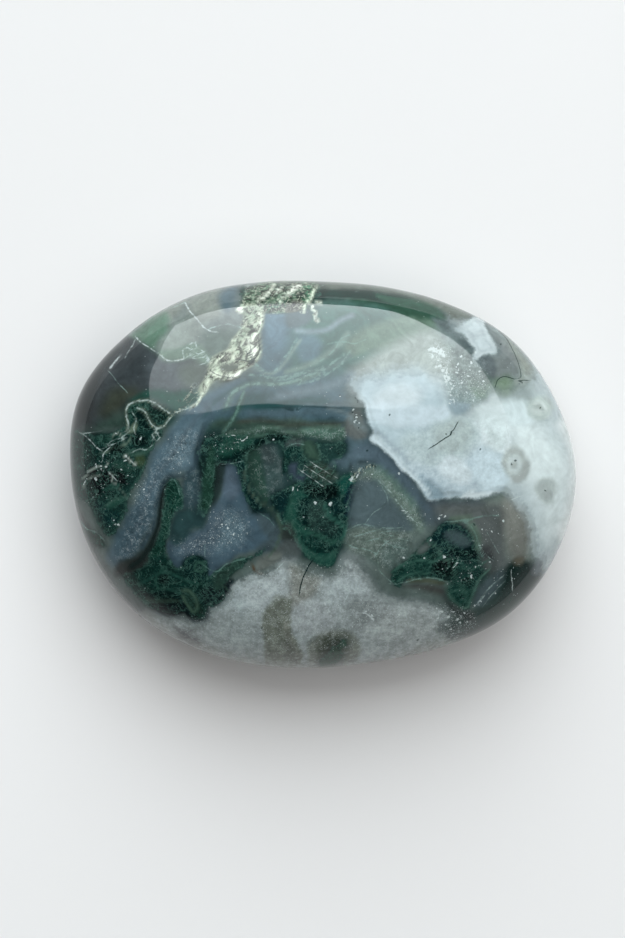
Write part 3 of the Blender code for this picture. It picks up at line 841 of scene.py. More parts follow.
# Where the veils' edges are soft: how much softer than elsewhere, how softly that fades, and outline
VEIL_SOFT = (
    (1.0, 12, ((330, 300), (452, 300), (452, 366), (440, 372), (430, 384), (404, 382), (380, 384),
     (340, 392), (336, 360))),
    (1.0, 8, ((452, 364), (500, 358), (600, 300), (600, 380), (520, 400), (470, 396), (440, 380))),
    (0.7, 10, ((500, 480), (540, 488), (560, 540), (580, 600), (520, 600), (520, 520), (500, 505))),
    (0.5, 8, ((120, 590), (180, 612), (230, 590), (280, 556), (360, 552), (440, 596), (440, 700),
     (200, 700), (120, 660))),
    (0.5, 8, ((430, 600), (520, 600), (500, 680), (420, 680))),
)
VEIL_ZONES = (
    ((0.35, 0.42, 0.41), 9, ((436, 344), (520, 340), (536, 400), (500, 414), (440, 410))),
    ((0.48, 0.60, 0.635), 8, ((352, 380), (380, 366), (420, 366), (438, 384), (449, 408), (448, 422),
     (424, 446), (404, 452), (380, 446), (366, 430), (362, 398))),
    ((0.57, 0.67, 0.69), 7, ((374, 396), (400, 384), (420, 392), (418, 412), (400, 424), (380, 418))),
    ((0.63, 0.75, 0.79), 4, ((362, 406), (380, 404), (404, 404), (430, 404), (448, 406), (446, 420),
     (424, 424), (400, 426), (378, 422), (366, 418))),
    ((0.49, 0.60, 0.605), 7, ((402, 436), (424, 428), (450, 419), (474, 424), (480, 440), (466, 454),
     (448, 460), (430, 464), (416, 460), (406, 448))),
    ((0.44, 0.53, 0.515), 6, ((434, 432), (450, 420), (472, 424), (474, 440), (456, 452), (438, 450))),
    ((0.49, 0.60, 0.64), 5, ((404, 460), (424, 464), (444, 466), (470, 456), (486, 440), (500, 430),
     (512, 440), (506, 470), (498, 492), (460, 502), (428, 500), (414, 478))),
    ((1.0, 1.11, 1.13), 4, ((486, 424), (504, 424), (512, 438), (510, 452), (498, 452), (484, 440))),
    ((0.25, 0.35, 0.395), 3, ((420, 472), (434, 480), (446, 492), (440, 500), (424, 498), (416, 480))),
    ((0.64, 0.74, 0.76), 3, ((440, 462), (452, 456), (466, 462), (474, 472), (466, 482), (450, 480),
     (440, 472))),
    ((0.66, 0.75, 0.76), 2, ((456, 494), (466, 490), (482, 492), (494, 490), (498, 494), (480, 498),
     (462, 500))),
    ((0.33, 0.42, 0.45), 2, ((440, 488), (456, 488), (470, 492), (460, 496), (444, 494))),
    ((0.36, 0.45, 0.48), 2.5, ((368, 428), (378, 432), (392, 442), (404, 452), (412, 462), (404, 462),
     (390, 450), (376, 440))),
    ((0.62, 0.74, 0.77), 2, ((366, 434), (380, 440), (396, 452), (412, 468), (426, 484), (430, 498),
     (422, 490), (408, 474), (392, 458), (376, 448))),
    ((0.64, 0.745, 0.74), 7, ((474, 408), (492, 402), (512, 408), (514, 428), (508, 450), (490, 452),
     (484, 436), (476, 422))),
    ((0.42, 0.50, 0.50), 6, ((424, 346), (436, 342), (444, 360), (446, 378), (436, 384), (428, 370))),
    # painted light: towards the right rim the cloud is made paler, standing in for light glowing through it
    # where the surface turns away from the softbox
    ((0.76, 0.865, 0.855), 14, ((514, 420), (540, 424), (556, 440), (570, 470), (562, 520), (546, 540),
     (534, 500), (520, 470))),
    ((0.78, 0.87, 0.83), 8, ((516, 350), (544, 366), (570, 400), (580, 430), (640, 420), (560, 300))),
    ((0.88, 0.96, 0.94), 8, ((562, 420), (572, 450), (570, 500), (560, 540), (640, 540), (640, 420))),
    ((0.60, 0.73, 0.77), 5, ((476, 452), (488, 450), (502, 458), (510, 472), (502, 488), (484, 490),
     (474, 472))),
    ((0.70, 0.82, 0.82), 5, ((506, 402), (524, 400), (534, 412), (530, 426), (514, 426), (506, 414))),
    ((0.20, 0.275, 0.265), 5, ((446, 354), (466, 348), (484, 364), (494, 384), (490, 396), (474, 406),
     (454, 404), (446, 386))),
    ((0.15, 0.235, 0.175), 4, ((466, 366), (480, 370), (490, 384), (486, 396), (474, 398), (466, 384))),
    ((0.24, 0.32, 0.25), 6, ((488, 376), (512, 374), (514, 390), (496, 396))),
    ((0.27, 0.36, 0.39), 3, ((448, 398), (462, 404), (470, 406), (468, 413), (456, 415), (449, 408))),
    ((0.50, 0.585, 0.55), 3, ((528, 408), (533, 398), (545, 397), (553, 405), (549, 418), (536, 420))),
    ((0.62, 0.71, 0.68), 2, ((534, 407), (538, 401), (545, 403), (547, 409), (542, 414), (536, 413))),
    ((0.40, 0.465, 0.43), 2, ((537, 406), (541, 404), (544, 408), (541, 411))),
    ((0.45, 0.51, 0.485), 3, ((500, 463), (507, 450), (522, 449), (529, 462), (526, 476), (510, 478))),
    ((0.60, 0.69, 0.68), 2.5, ((506, 461), (511, 455), (520, 457), (523, 465), (517, 472), (508, 470))),
    ((0.44, 0.50, 0.475), 2, ((511, 462), (516, 460), (518, 465), (512, 467))),
    ((0.40, 0.45, 0.43), 3, ((510, 474), (520, 472), (527, 458), (532, 466), (526, 480), (514, 481))),
    ((0.48, 0.55, 0.53), 3, ((534, 490), (540, 480), (551, 479), (557, 490), (551, 502), (541, 502))),
    ((0.33, 0.385, 0.38), 12, ((120, 600), (200, 616), (236, 570), (300, 548), (360, 548), (440, 596),
     (480, 640), (440, 720), (200, 720), (120, 680))),
    ((0.38, 0.455, 0.455), 9, ((234, 590), (256, 576), (284, 570), (288, 586), (266, 602), (240, 612),
     (226, 606))),
    ((0.36, 0.42, 0.42), 9, ((330, 586), (346, 566), (356, 570), (366, 590), (350, 606), (334, 604))),
    ((0.38, 0.43, 0.42), 9, ((360, 606), (400, 608), (432, 612), (430, 634), (390, 644), (360, 630))),
    ((0.24, 0.26, 0.235), 5, ((288, 566), (300, 564), (312, 572), (322, 578), (316, 592), (304, 602),
     (292, 604), (288, 584))),
    ((0.175, 0.20, 0.165), 2, ((262, 618), (267, 610), (273, 599), (279, 595), (290, 597), (293, 606),
     (293, 620), (296, 640), (302, 658), (296, 668), (268, 668), (265, 646), (261, 628))),
    ((0.21, 0.23, 0.195), 3, ((284, 620), (290, 622), (293, 640), (288, 644), (284, 632))),
    ((0.135, 0.15, 0.125), 3, ((284, 640), (292, 644), (300, 660), (292, 664), (286, 652))),
    ((0.17, 0.195, 0.165), 4, ((306, 652), (312, 640), (322, 632), (336, 630), (350, 632), (359, 642),
     (358, 656), (348, 666), (326, 670), (310, 666))),
    ((0.060, 0.078, 0.056), 6, ((316, 650), (322, 641), (334, 637), (343, 641), (346, 650), (340, 659),
     (328, 664), (318, 661))),
    ((0.42, 0.485, 0.485), 7, ((242, 588), (258, 578), (276, 572), (286, 572), (288, 592), (274, 598),
     (262, 610), (246, 608))),
    ((0.38, 0.43, 0.43), 6, ((296, 606), (312, 600), (330, 606), (338, 618), (330, 630), (308, 634),
     (296, 624))),
    ((0.25, 0.29, 0.285), 6, ((346, 604), (362, 598), (378, 606), (380, 622), (362, 628), (350, 618))),
    ((0.055, 0.062, 0.068), 6, ((175, 628), (190, 632), (204, 644), (208, 654), (194, 652), (182, 642))),
    ((0.22, 0.25, 0.22), 9, ((420, 648), (470, 634), (500, 610), (530, 640), (440, 690))),
    ((0.30, 0.33, 0.31), 5, ((140, 600), (160, 622), (190, 640), (240, 658), (300, 665), (380, 660),
     (440, 645), (440, 720), (140, 720))),
    ((0.53, 0.61, 0.62), 4, ((456, 322), (480, 318), (497, 346), (490, 353), (476, 360), (466, 338))),
)

MOSS_GREEN = (0.005, 0.030, 0.025)
# Moss: crisp-edged green growths, and the holes in them
MOSS = (
    # left body with the lobe over the smoke
    ((66, 434), (84, 433), (100, 435), (112, 433), (124, 428), (128, 420), (127, 410), (131, 403),
     (142, 400), (154, 402), (163, 407), (172, 413), (173, 415), (168, 422), (163, 428), (163, 436),
     (157, 442), (153, 450), (148, 461), (145, 470), (140, 480), (134, 488), (129, 500), (126, 515),
     (118, 526), (112, 536), (104, 534), (97, 521), (90, 506), (80, 498), (66, 496)),
    # ribbon that rises between the blue bands, and the mass at the lower left
    ((164, 491), (171, 480), (177, 480), (182, 490), (184, 503), (182, 509), (174, 514), (172, 524),
     (169, 535), (166, 544), (167, 554), (172, 562), (176, 568), (183, 566), (186, 558), (192, 555),
     (200, 556), (206, 560), (208, 570), (210, 577), (216, 571), (228, 565), (235, 559), (241, 558),
     (250, 556), (258, 553), (266, 549), (258, 557), (250, 559), (241, 567), (234, 572), (228, 579),
     (224, 588), (223, 600), (215, 606), (208, 606), (206, 616), (200, 621), (192, 618), (185, 611),
     (170, 614), (152, 608), (140, 600), (131, 590), (122, 577), (130, 572), (144, 564), (149, 556),
     (153, 546), (158, 534), (161, 522), (163, 512)),
    # crown of the middle, with the filaments beside the blue triangle
    ((196, 452), (204, 442), (212, 436), (222, 434), (230, 434), (240, 434), (252, 436), (262, 434),
     (272, 433), (284, 436), (296, 440), (306, 441), (318, 443), (330, 443), (343, 442), (346, 450),
     (340, 458), (334, 462), (336, 472), (324, 480), (316, 484), (304, 485), (294, 481), (286, 470),
     (284, 452), (277, 444), (268, 445), (258, 447), (250, 452), (246, 460), (247, 470), (250, 483),
     (256, 495), (264, 505), (260, 512), (252, 509), (244, 496), (240, 484), (236, 468), (226, 464),
     (216, 466), (214, 480), (212, 500), (206, 514), (198, 514), (198, 496), (202, 476), (200, 464)),
    # middle lobe
    ((290, 486), (300, 483), (310, 480), (322, 482), (334, 481), (344, 476), (353, 474), (356, 484),
     (351, 500), (350, 518), (348, 530), (347, 536), (344, 542), (341, 548), (338, 550), (335, 560),
     (330, 567), (321, 565), (312, 561), (307, 557), (300, 550), (297, 547), (294, 540), (289, 531),
     (284, 528), (278, 517), (273, 506), (272, 496), (282, 490)),
    # right moss
    ((392, 571), (394, 567), (399, 564), (406, 559), (412, 554), (417, 549), (423, 542), (429, 537),
     (435, 530), (441, 524), (447, 522), (454, 523), (462, 527), (470, 532), (475, 540), (478, 547),
     (480, 554), (488, 558), (492, 563), (489, 571), (482, 576), (477, 585), (474, 592), (470, 601),
     (467, 609), (460, 608), (452, 601), (446, 594), (447, 589), (449, 584), (443, 582), (432, 578),
     (417, 579), (408, 578), (403, 582), (401, 585), (396, 586), (392, 580)),
    # green chip at the left rim, green specks on the lower olive spot
    ((79, 520), (84, 527), (94, 531), (101, 540), (106, 549), (99, 546), (90, 540), (83, 532)),
    ((320, 664), (325, 655), (332, 648), (340, 642), (346, 640), (347, 645), (341, 650), (343, 656),
     (338, 662), (332, 665), (326, 668)),
    # green threads in the top rim, left and right of the vein
    ((246, 300), (242, 296), (240, 290), (247, 286), (252, 292)),
    ((306, 306), (312, 296), (318, 286), (322, 290), (316, 302), (312, 310)),
)
MOSS_HOLES = (
    ((417, 552), (421, 546), (427, 543), (429, 547), (423, 553)),
    ((290, 462), (296, 463), (298, 472), (306, 480), (296, 478), (291, 475)),
    ((303, 443), (309, 440), (315, 444), (319, 455), (316, 461), (309, 459), (304, 451)),
)

# Lace: crusty pale veins. Each strand is its half-width in pixels, then its line
LACE = (
    # down the left of the vein, and the thin foot that runs down to the rings
    (1.9, ((248, 283), (247, 292), (246, 301), (241, 308), (238, 311))),
    (1.6, ((206, 382), (204, 388), (201, 394), (197, 402), (190, 407), (182, 409), (173, 414))),
    (1.0, ((201, 388), (198, 383), (193, 386), (190, 393), (186, 397), (180, 400))),
    (1.0, ((196, 392), (192, 398), (186, 402))),
    # curls at its right
    (1.4, ((321, 302), (315, 304), (312, 309), (316, 312), (314, 317), (318, 321))),
    (1.2, ((311, 300), (306, 306), (300, 311))),
    # rings on the smoke
    (0.5, ((127, 432), (128, 424), (127, 416), (127, 409), (130, 404), (138, 401), (149, 400),
     (158, 404), (164, 409), (172, 414))),
    (0.7, ((172, 415), (168, 419), (165, 425), (160, 428), (153, 425), (149, 418), (145, 411), (139, 408))),
    (0.4, ((134, 414), (137, 420), (134, 427), (136, 433))),
    (0.4, ((155, 430), (158, 434), (160, 438), (156, 441), (153, 436))),
    (0.5, ((155, 351), (161, 354), (165, 358), (173, 360), (181, 359), (187, 357), (184, 350),
     (190, 348), (196, 352), (206, 356), (211, 361))),
    # crust at the right of the middle
    (1.9, ((352, 482), (354, 476), (359, 471), (366, 468), (375, 466))),
)

# Patches of lace, and the windows in them
LACE_PATCHES = (
    ((241, 330), (243, 320), (246, 313), (241, 311), (237, 309), (242, 306), (243, 298), (248, 290),
     (256, 284), (266, 281), (290, 279), (306, 281), (318, 285), (314, 293), (309, 302), (303, 308),
     (292, 310), (280, 313), (268, 312), (264, 313), (263, 322), (260, 332), (261, 346), (260, 356),
     (255, 364), (247, 368), (241, 372), (237, 378), (228, 380), (216, 379), (210, 384), (206, 391),
     (202, 396), (200, 393), (203, 386), (205, 378), (209, 369), (210, 360), (217, 355), (224, 353),
     (230, 348), (233, 341), (237, 334)),
)
LACE_WINDOWS = (
    ((220, 367), (226, 364), (234, 364), (241, 366), (236, 370), (229, 372), (223, 371)),
)

# Threads: half-width, whiteness and line
THREADS = (
    # on the shoulder
    (0.8, 1.0, ((184, 302), (188, 308), (194, 315), (200, 322), (206, 328), (211, 331), (216, 332))),
    (0.8, 0.45, ((209, 329), (217, 326), (229, 324), (239, 327))),
    (0.6, 0.5, ((175, 306), (184, 302))),
    (0.7, 1.0, ((136, 337), (141, 342), (146, 345), (152, 349))),
    (0.7, 0.8, ((134, 342), (131, 347), (128, 351), (126, 355))),
    (1.2, 1.0, ((119, 356), (115, 361), (111, 367))),
    (0.5, 0.3, ((109, 372), (117, 381), (126, 391))),
    (0.6, 1.0, ((81, 434), (90, 440), (96, 447), (101, 450))),
    (0.5, 0.8, ((82, 434), (96, 432))),
    (0.5, 0.9, ((108, 449), (104, 453), (103, 459))),
    (0.5, 0.6, ((104, 448), (114, 444), (125, 439))),
    (0.8, 0.8, ((126, 457), (131, 461), (135, 465))),
    (0.6, 0.8, ((110, 474), (116, 480))),
    (0.8, 0.2, ((80, 520), (86, 528), (96, 532), (103, 541))),
    # rings on the smoke
    (0.9, 0.75, ((127, 432), (129, 425), (127, 417), (127, 409), (130, 404), (138, 401), (149, 400),
     (158, 404), (164, 409), (172, 414))),
    (0.9, 0.65, ((173, 415), (169, 419), (166, 424), (160, 428), (153, 425), (149, 418), (145, 411),
     (139, 408))),
    (0.7, 0.6, ((134, 414), (137, 420), (134, 427), (136, 433))),
    (0.7, 0.6, ((155, 430), (158, 434), (160, 438), (156, 441), (153, 436))),
    (0.6, 0.6, ((128, 433), (121, 438), (114, 440), (108, 444))),
    (0.6, 0.5, ((152, 446), (146, 450), (140, 449), (133, 452))),
    (0.7, 0.7, ((172, 414), (180, 410), (188, 408), (195, 403))),
    # net along the shoulder's edge
    (0.9, 0.9, ((155, 351), (161, 354), (165, 358), (173, 360), (181, 359), (187, 357))),
    (0.8, 0.7, ((184, 356), (183, 350), (187, 347), (191, 350), (190, 357), (196, 359))),
    (0.8, 0.8, ((192, 343), (196, 342), (197, 347), (202, 350), (206, 354), (210, 360))),
    (0.7, 0.7, ((197, 348), (193, 351), (198, 354), (203, 352))),
    (0.6, 0.7, ((199, 358), (204, 357), (207, 362), (203, 364))),
    # mint swirls of the upper middle
    (1.4, 0.1, ((256, 364), (260, 368), (266, 372), (274, 371), (279, 364), (283, 359), (290, 351),
     (293, 345), (296, 339))),
    (1.4, 0.12, ((251, 375), (263, 376), (271, 378), (283, 377), (294, 374), (309, 370), (326, 369),
     (331, 364), (343, 356))),
    (1.7, 0.12, ((226, 405), (231, 394), (240, 388), (253, 384), (267, 384), (283, 384), (300, 379),
     (311, 374), (324, 372))),
    (1.7, 0.0, ((244, 392), (240, 401), (236, 412), (231, 421), (224, 431))),
    (1.4, 0.1, ((300, 384), (316, 380), (330, 372), (342, 364), (350, 352))),
    # about the middle
    (0.6, 0.0, ((261, 515), (270, 521), (276, 529))),
    (0.5, 0.9, ((313, 463), (334, 476))),
    (0.5, 0.8, ((306, 466), (329, 481))),
    (0.5, 0.8, ((299, 469), (322, 485))),
    (0.5, 0.3, ((224, 464), (236, 463), (244, 461))),
    (0.5, 0.1, ((289, 446), (296, 443), (304, 444))),
    # right of the middle
    (0.8, 0.5, ((378, 479), (386, 486), (393, 493), (399, 501), (404, 508), (410, 516), (416, 523),
     (419, 529))),
    (0.7, 0.15, ((348, 544), (356, 548), (366, 549), (374, 552), (377, 560), (379, 570), (385, 576),
     (392, 582))),
    (0.6, 0.2, ((357, 536), (366, 533), (376, 530), (385, 534), (396, 536))),
    (0.6, 0.2, ((376, 556), (380, 548), (387, 541), (396, 538), (408, 540))),
    (0.6, 0.2, ((350, 529), (362, 524), (374, 526), (388, 528), (402, 527))),
    (0.5, 0.3, ((384, 488), (388, 495), (389, 501))),
    (0.6, 0.15, ((366, 541), (378, 538), (392, 545), (404, 548))),
    (0.5, 0.3, ((368, 520), (374, 512), (380, 508))),
    (0.7, 0.45, ((478, 602), (486, 591), (496, 582), (502, 577))),
    (0.6, 0.4, ((484, 604), (492, 594), (503, 583))),
    (0.6, 0.6, ((482, 598), (485, 594))),
    (0.5, 0.4, ((478, 540), (484, 552), (492, 560))),
    (0.5, 0.3, ((488, 534), (494, 545), (498, 552))),
    (0.9, 0.05, ((444, 522), (455, 521), (465, 519), (475, 517), (484, 515), (499, 515))),
    (0.8, 0.05, ((276, 381), (288, 379), (300, 375), (312, 370), (322, 366))),
    (0.8, 0.0, ((318, 362), (328, 356), (336, 348), (340, 340), (348, 336))),
    (0.8, 0.0, ((330, 344), (342, 342), (354, 344), (364, 340))),
    (1.0, 0.0, ((455, 521), (467, 523), (474, 532), (479, 545), (482, 557))),
    (0.8, 0.1, ((390, 583), (400, 583), (420, 578), (436, 578), (446, 582))),
    (0.5, 0.9, ((506, 425), (508, 437), (506, 450))),
    (0.6, 0.9, ((512, 573), (512, 588))),
    (0.8, 1.0, ((326, 604), (329, 609), (331, 614))),
    (1.0, 1.0, ((359, 613), (366, 614), (372, 619))),
    (0.6, 0.8, ((370, 630), (382, 632))),
    (0.5, 0.8, ((406, 615), (408, 623))),
    (0.5, 0.7, ((343, 586), (348, 592), (346, 598))),
    (0.6, 0.8, ((276, 570), (281, 565))),
    (0.5, 0.8, ((513, 499), (520, 496))),
    # lower left
    (0.7, 0.0, ((205, 566), (216, 572), (226, 564), (238, 560), (252, 556))),
    (0.6, 0.0, ((166, 485), (174, 480), (180, 496))),
    (0.5, 0.2, ((205, 545), (205, 553))),
)

# Hairs, dark and fine: half-width, darkness and line
HAIRS = (
    (0.6, 1.0, ((432, 447), (441, 441), (450, 435))),
    (0.6, 0.9, ((452, 431), (454, 429), (457, 424))),
    (0.5, 0.8, ((501, 333), (508, 341), (514, 352), (519, 365), (521, 375), (520, 382))),
    (0.5, 0.8, ((520, 381), (510, 377), (504, 376), (498, 380), (496, 386))),
    (0.5, 0.8, ((519, 380), (527, 380))),
    (0.7, 1.0, ((313, 560), (308, 567), (304, 577), (301, 585), (300, 592))),
    (0.7, 0.8, ((259, 340), (260, 350), (256, 358), (250, 363))),
    (0.6, 0.9, ((247, 352), (251, 358), (254, 362))),
    (0.6, 0.9, ((241, 360), (247, 361), (254, 362))),
    (0.6, 0.7, ((251, 348), (253, 356))),
    (0.7, 0.7, ((212, 371), (219, 375), (229, 377))),
    (0.7, 0.6, ((284, 409), (292, 411), (300, 410))),
    (0.9, 0.35, ((268, 408), (285, 408), (310, 407), (340, 408))),
)

# Specks: x, y and radius
WHITE_SPECKS = (
    (116, 434, 1.1), (141, 438, 1.3), (96, 479, 1.5), (126, 456, 1.0), (124, 461, 0.8), (121, 470, 0.8),
    (128, 476, 0.8), (87, 479, 0.8), (84, 484, 0.8), (118, 525, 1.3), (114, 521, 0.8), (109, 526, 0.8),
    (96, 464, 0.9), (101, 466, 1.0), (106, 467, 0.8), (229, 436, 0.9), (234, 435, 0.8), (241, 441, 0.8),
    (246, 438, 0.8), (232, 449, 0.8), (273, 440, 1.0), (294, 487, 1.4), (297, 491, 0.8), (316, 503, 1.7),
    (331, 504, 2.0), (352, 482, 1.0), (304, 517, 0.8), (443, 557, 1.4), (456, 563, 1.0),
    (471, 577, 1.3), (475, 567, 1.0), (424, 558, 0.8), (438, 518, 1.2), (444, 516, 0.8), (430, 540, 0.9),
    (453, 568, 0.8), (490, 562, 1.0), (495, 593, 1.0), (504, 520, 1.3), (437, 609, 1.0), (482, 529, 0.9),
    (492, 531, 0.8), (403, 557, 1.2), (341, 397, 0.8), (354, 409, 1.0), (357, 417, 1.0),
     (360, 423, 0.9), (355, 422, 0.8), (405, 468, 1.2), (399, 473, 0.9), (404, 510, 1.4),
     (408, 516, 1.0), (372, 474, 1.0),
    (353, 478, 1.2), (358, 474, 1.0), (434, 350, 2.9), (441, 352, 3.1), (444, 355, 2.0),
     (430, 349, 1.5), (439, 360, 1.2), (441, 365, 1.4),
    (443, 370, 1.7), (445, 376, 1.7), (446, 382, 1.4), (451, 384, 1.2), (452, 390, 1.2), (457, 373, 1.3),
    (456, 367, 0.8), (471, 363, 1.3), (450, 404, 1.1), (454, 401, 1.0), (473, 400, 0.8), (502, 405, 0.8),
    (433, 356, 1.6), (437, 366, 1.8), (447, 372, 1.3), (449, 378, 1.8), (451, 396, 1.4),
     (462, 383, 1.1), (468, 376, 1.2),
    (461, 356, 1.3), (476, 352, 1.2), (480, 371, 1.3), (484, 381, 1.1), (466, 392, 1.1),
     (458, 364, 1.0), (470, 370, 0.9),
    (442, 612, 1.4), (448, 617, 1.6), (453, 612, 1.2), (457, 619, 1.5), (464, 613, 1.2),
     (446, 624, 1.2), (438, 618, 1.1),
    (467, 621, 1.0), (452, 629, 1.0), (480, 601, 1.1), (474, 606, 0.9), (400, 615, 1.3),
     (366, 612, 1.2), (372, 616, 1.3),
    (228, 528, 1.4), (222, 524, 0.9), (234, 534, 0.9), (144, 490, 0.9), (178, 452, 0.9), (460, 622, 1.0),
)
DARK_SPECKS = (
    (353, 412, 1.0), (356, 420, 0.9), (359, 428, 0.9), (341, 396, 1.0), (358, 402, 0.9),
    (501, 344, 1.1), (480, 449, 1.2), (391, 415, 1.3), (356, 398, 1.1), (367, 450, 1.3), (474, 524, 1.6),
    (446, 434, 1.0), (541, 408, 1.1), (516, 461, 1.3), (512, 465, 0.9), (545, 491, 1.0),
     (262, 628, 1.0), (234, 436, 1.0),
    (99, 406, 0.9), (418, 640, 1.2), (333, 654, 1.2), (338, 648, 1.2), (341, 655, 1.0), (328, 646, 1.0),
)

# Where the fine painted glints lie: how thickly, how softly that fades, and outline
GLINTS = (
    (1.9, 6, ((436, 344), (450, 348), (456, 372), (480, 372), (486, 392), (470, 404), (452, 398),
     (444, 372), (430, 356))),
    (1.2, 6, ((214, 512), (236, 510), (246, 530), (236, 544), (214, 548), (182, 556), (176, 544),
     (206, 534))),
    (0.9, 6, ((166, 444), (184, 436), (190, 456), (180, 470), (168, 466))),
    (0.8, 6, ((138, 482), (152, 484), (150, 508), (138, 504))),
    (0.85, 9, ((230, 590), (262, 576), (300, 570), (346, 566), (372, 600), (440, 608), (446, 634),
     (380, 650), (300, 650), (220, 652), (170, 622), (210, 612))),
    (1.9, 5, ((436, 606), (452, 606), (472, 610), (476, 626), (456, 636), (440, 628))),
    (0.8, 4, ((350, 470), (366, 462), (378, 466), (378, 476), (356, 488))),
    (0.45, 6, ((84, 450), (112, 452), (134, 460), (130, 484), (110, 500), (82, 500))),
    (0.5, 4, ((205, 432), (240, 430), (250, 444), (214, 456))),
    (0.5, 5, ((396, 496), (410, 500), (420, 526), (404, 520))),
    (0.5, 6, ((440, 552), (476, 556), (486, 574), (460, 582), (436, 570))),
    (0.35, 8, ((480, 520), (520, 500), (530, 560), (500, 610), (480, 590))),
)
# Where the stone is granular, in the same form
GRAIN = (
    (0.4, 9, ((404, 436), (440, 420), (490, 420), (512, 440), (506, 474), (470, 494), (430, 492),
     (404, 464))),
    (0.9, 2, ((224, 433), (245, 430), (270, 427), (291, 434), (318, 429), (343, 430), (345, 438),
     (332, 441), (309, 437), (290, 437), (270, 435), (240, 437))),
    (0.4, 4, ((246, 450), (270, 444), (281, 462), (281, 489), (270, 503), (254, 490), (246, 470))),
    (0.8, 6, ((140, 476), (150, 470), (170, 440), (186, 430), (200, 432), (186, 460), (168, 478),
     (156, 500), (150, 530), (134, 552), (118, 560), (122, 536), (132, 510))),
    (0.7, 5, ((348, 532), (364, 526), (390, 528), (412, 534), (408, 552), (392, 566), (380, 564),
     (362, 554), (348, 548))),
    (0.7, 3, ((366, 468), (386, 474), (400, 488), (418, 508), (425, 528), (414, 524), (398, 500),
     (382, 482))),
    (0.5, 6, ((184, 474), (198, 470), (200, 500), (188, 508))),
    (1.0, 7, ((150, 616), (196, 622), (214, 608), (228, 594), (236, 580), (262, 572), (296, 564),
     (330, 576), (346, 562), (358, 566), (376, 594), (402, 604), (434, 606), (446, 618), (466, 640),
     (420, 664), (360, 680), (280, 680), (200, 662))),
    (0.7, 6, ((432, 342), (452, 346), (484, 360), (490, 396), (464, 408), (446, 396))),
    (0.5, 8, ((206, 530), (226, 508), (248, 520), (246, 544), (214, 556), (178, 556), (172, 544))),
)

# How the markings run down the sides: the top's pattern goes on past the widest level, drawn inwards and
# swirled round as it goes, so that the underside is of the same stone but not a copy
SWIRL = 1.3  # radians by the middle of the belly
WANDER_SEED = 4
# How the pattern wanders: waves to a millimetre, and pixels
UNDER_WARPS = ((0.06, 26.0),)  # the underside's pattern
WARPS = ((0.11, 1.2), (0.34, 0.9), (0.9, 0.5))  # all of it
SOFT_WARPS = ((0.22, 3.4), (0.6, 2.2), (1.4, 1.3))  # the soft zones, beyond that
# In pixels
LACE_REACH = 12.0  # how far the lace field goes out from a strand
NEAR = 9.0  # how far on each side of a line its side distance is known
LINE_FADE = (2.8, 1.3)  # from where a line's nearness rises from 0, and over how much it reaches 1
SPECK_FADE = (3.6, 1.5)  # the same from a speck's edge
FARTHEST = 9.0  # the greatest side distance that is kept, in half-widths or radii

points = np.empty(len(stone_mesh.vertices) * 3)
stone_mesh.vertices.foreach_get("co", points)
points = points.reshape(-1, 3)
point_angle = np.arctan2(points[:, 1], points[:, 0])
ring_angle = np.arctan2(ring_y, ring_x)
in_turn = np.argsort(ring_angle)
point_reach = np.interp(
    point_angle, ring_angle[in_turn], np.hypot(ring_x, ring_y)[in_turn], period=2.0 * math.pi
)
point_share = np.clip(np.hypot(points[:, 0], points[:, 1]) / point_reach, 0.0, 1.0)
under = points[:, 2] < WIDEST_LEVEL
# 0 at the widest level, and 1 at the middle of the crown and of the belly
past_widest = np.arccos(np.clip(point_share ** (FULLNESS / 2.0), 0.0, 1.0)) / (math.pi / 2.0)
drawn_in = np.where(under, 1.0 - past_widest, point_share) * point_reach
turned = point_angle + np.where(under, SWIRL * past_widest, 0.0)
pixel_x, pixel_y = picture_place(
    drawn_in * np.cos(turned), drawn_in * np.sin(turned), np.where(under, WIDEST_LEVEL, points[:, 2])
)


def wandered(x, y, warps, far_share=1.0):
    """The pixel places moved by smooth noise: waves to a millimetre and pixels of each layer."""
    for waves, far in warps:
        wander = np.array([noise.noise_vector(Vector(point) * waves / MM) for point in points])
        x = x + wander[:, 0] * far * far_share
        y = y + wander[:, 1] * far * far_share
    return x, y


noise.seed_set(WANDER_SEED)
pixel_x, pixel_y = wandered(pixel_x, pixel_y, UNDER_WARPS, np.where(under, past_widest, 0.0))
pixel_x, pixel_y = wandered(pixel_x, pixel_y, WARPS)
crisp_x, crisp_y = pixel_x, pixel_y
pixel_x, pixel_y = wandered(pixel_x, pixel_y, SOFT_WARPS)


def flowing(line, closed, steps=5):
    """The traced points with a smooth curve put through them."""
    line = np.array(line, float)
    if closed:
        before, start, end, after = (np.roll(line, -step, axis=0) for step in (-1, 0, 1, 2))
    else:
        padded = np.vstack([2.0 * line[0] - line[1], line, 2.0 * line[-1] - line[-2]])
        before, start, end, after = padded[:-3], padded[1:-2], padded[2:-1], padded[3:]
    t = (np.arange(steps) / steps)[None, :, None]
    before, start, end, after = (ends[:, None, :] for ends in (before, start, end, after))
    curve = 0.5 * (
        2.0 * start + (end - before) * t + (2.0 * before - 5.0 * start + 4.0 * end - after) * t**2
        + (3.0 * start - before - 3.0 * end + after) * t**3
    )
    curve = curve.reshape(-1, 2)
    return curve if closed else np.vstack([curve, line[-1]])


def near_points(curve, margin):
    """Which of the mesh's points lie within the curve's box, or at most that far outside it."""
    low, high = curve.min(0) - margin, curve.max(0) + margin
    return np.flatnonzero((pixel_x > low[0]) & (pixel_x < high[0]) & (pixel_y > low[1]) & (pixel_y < high[1]))


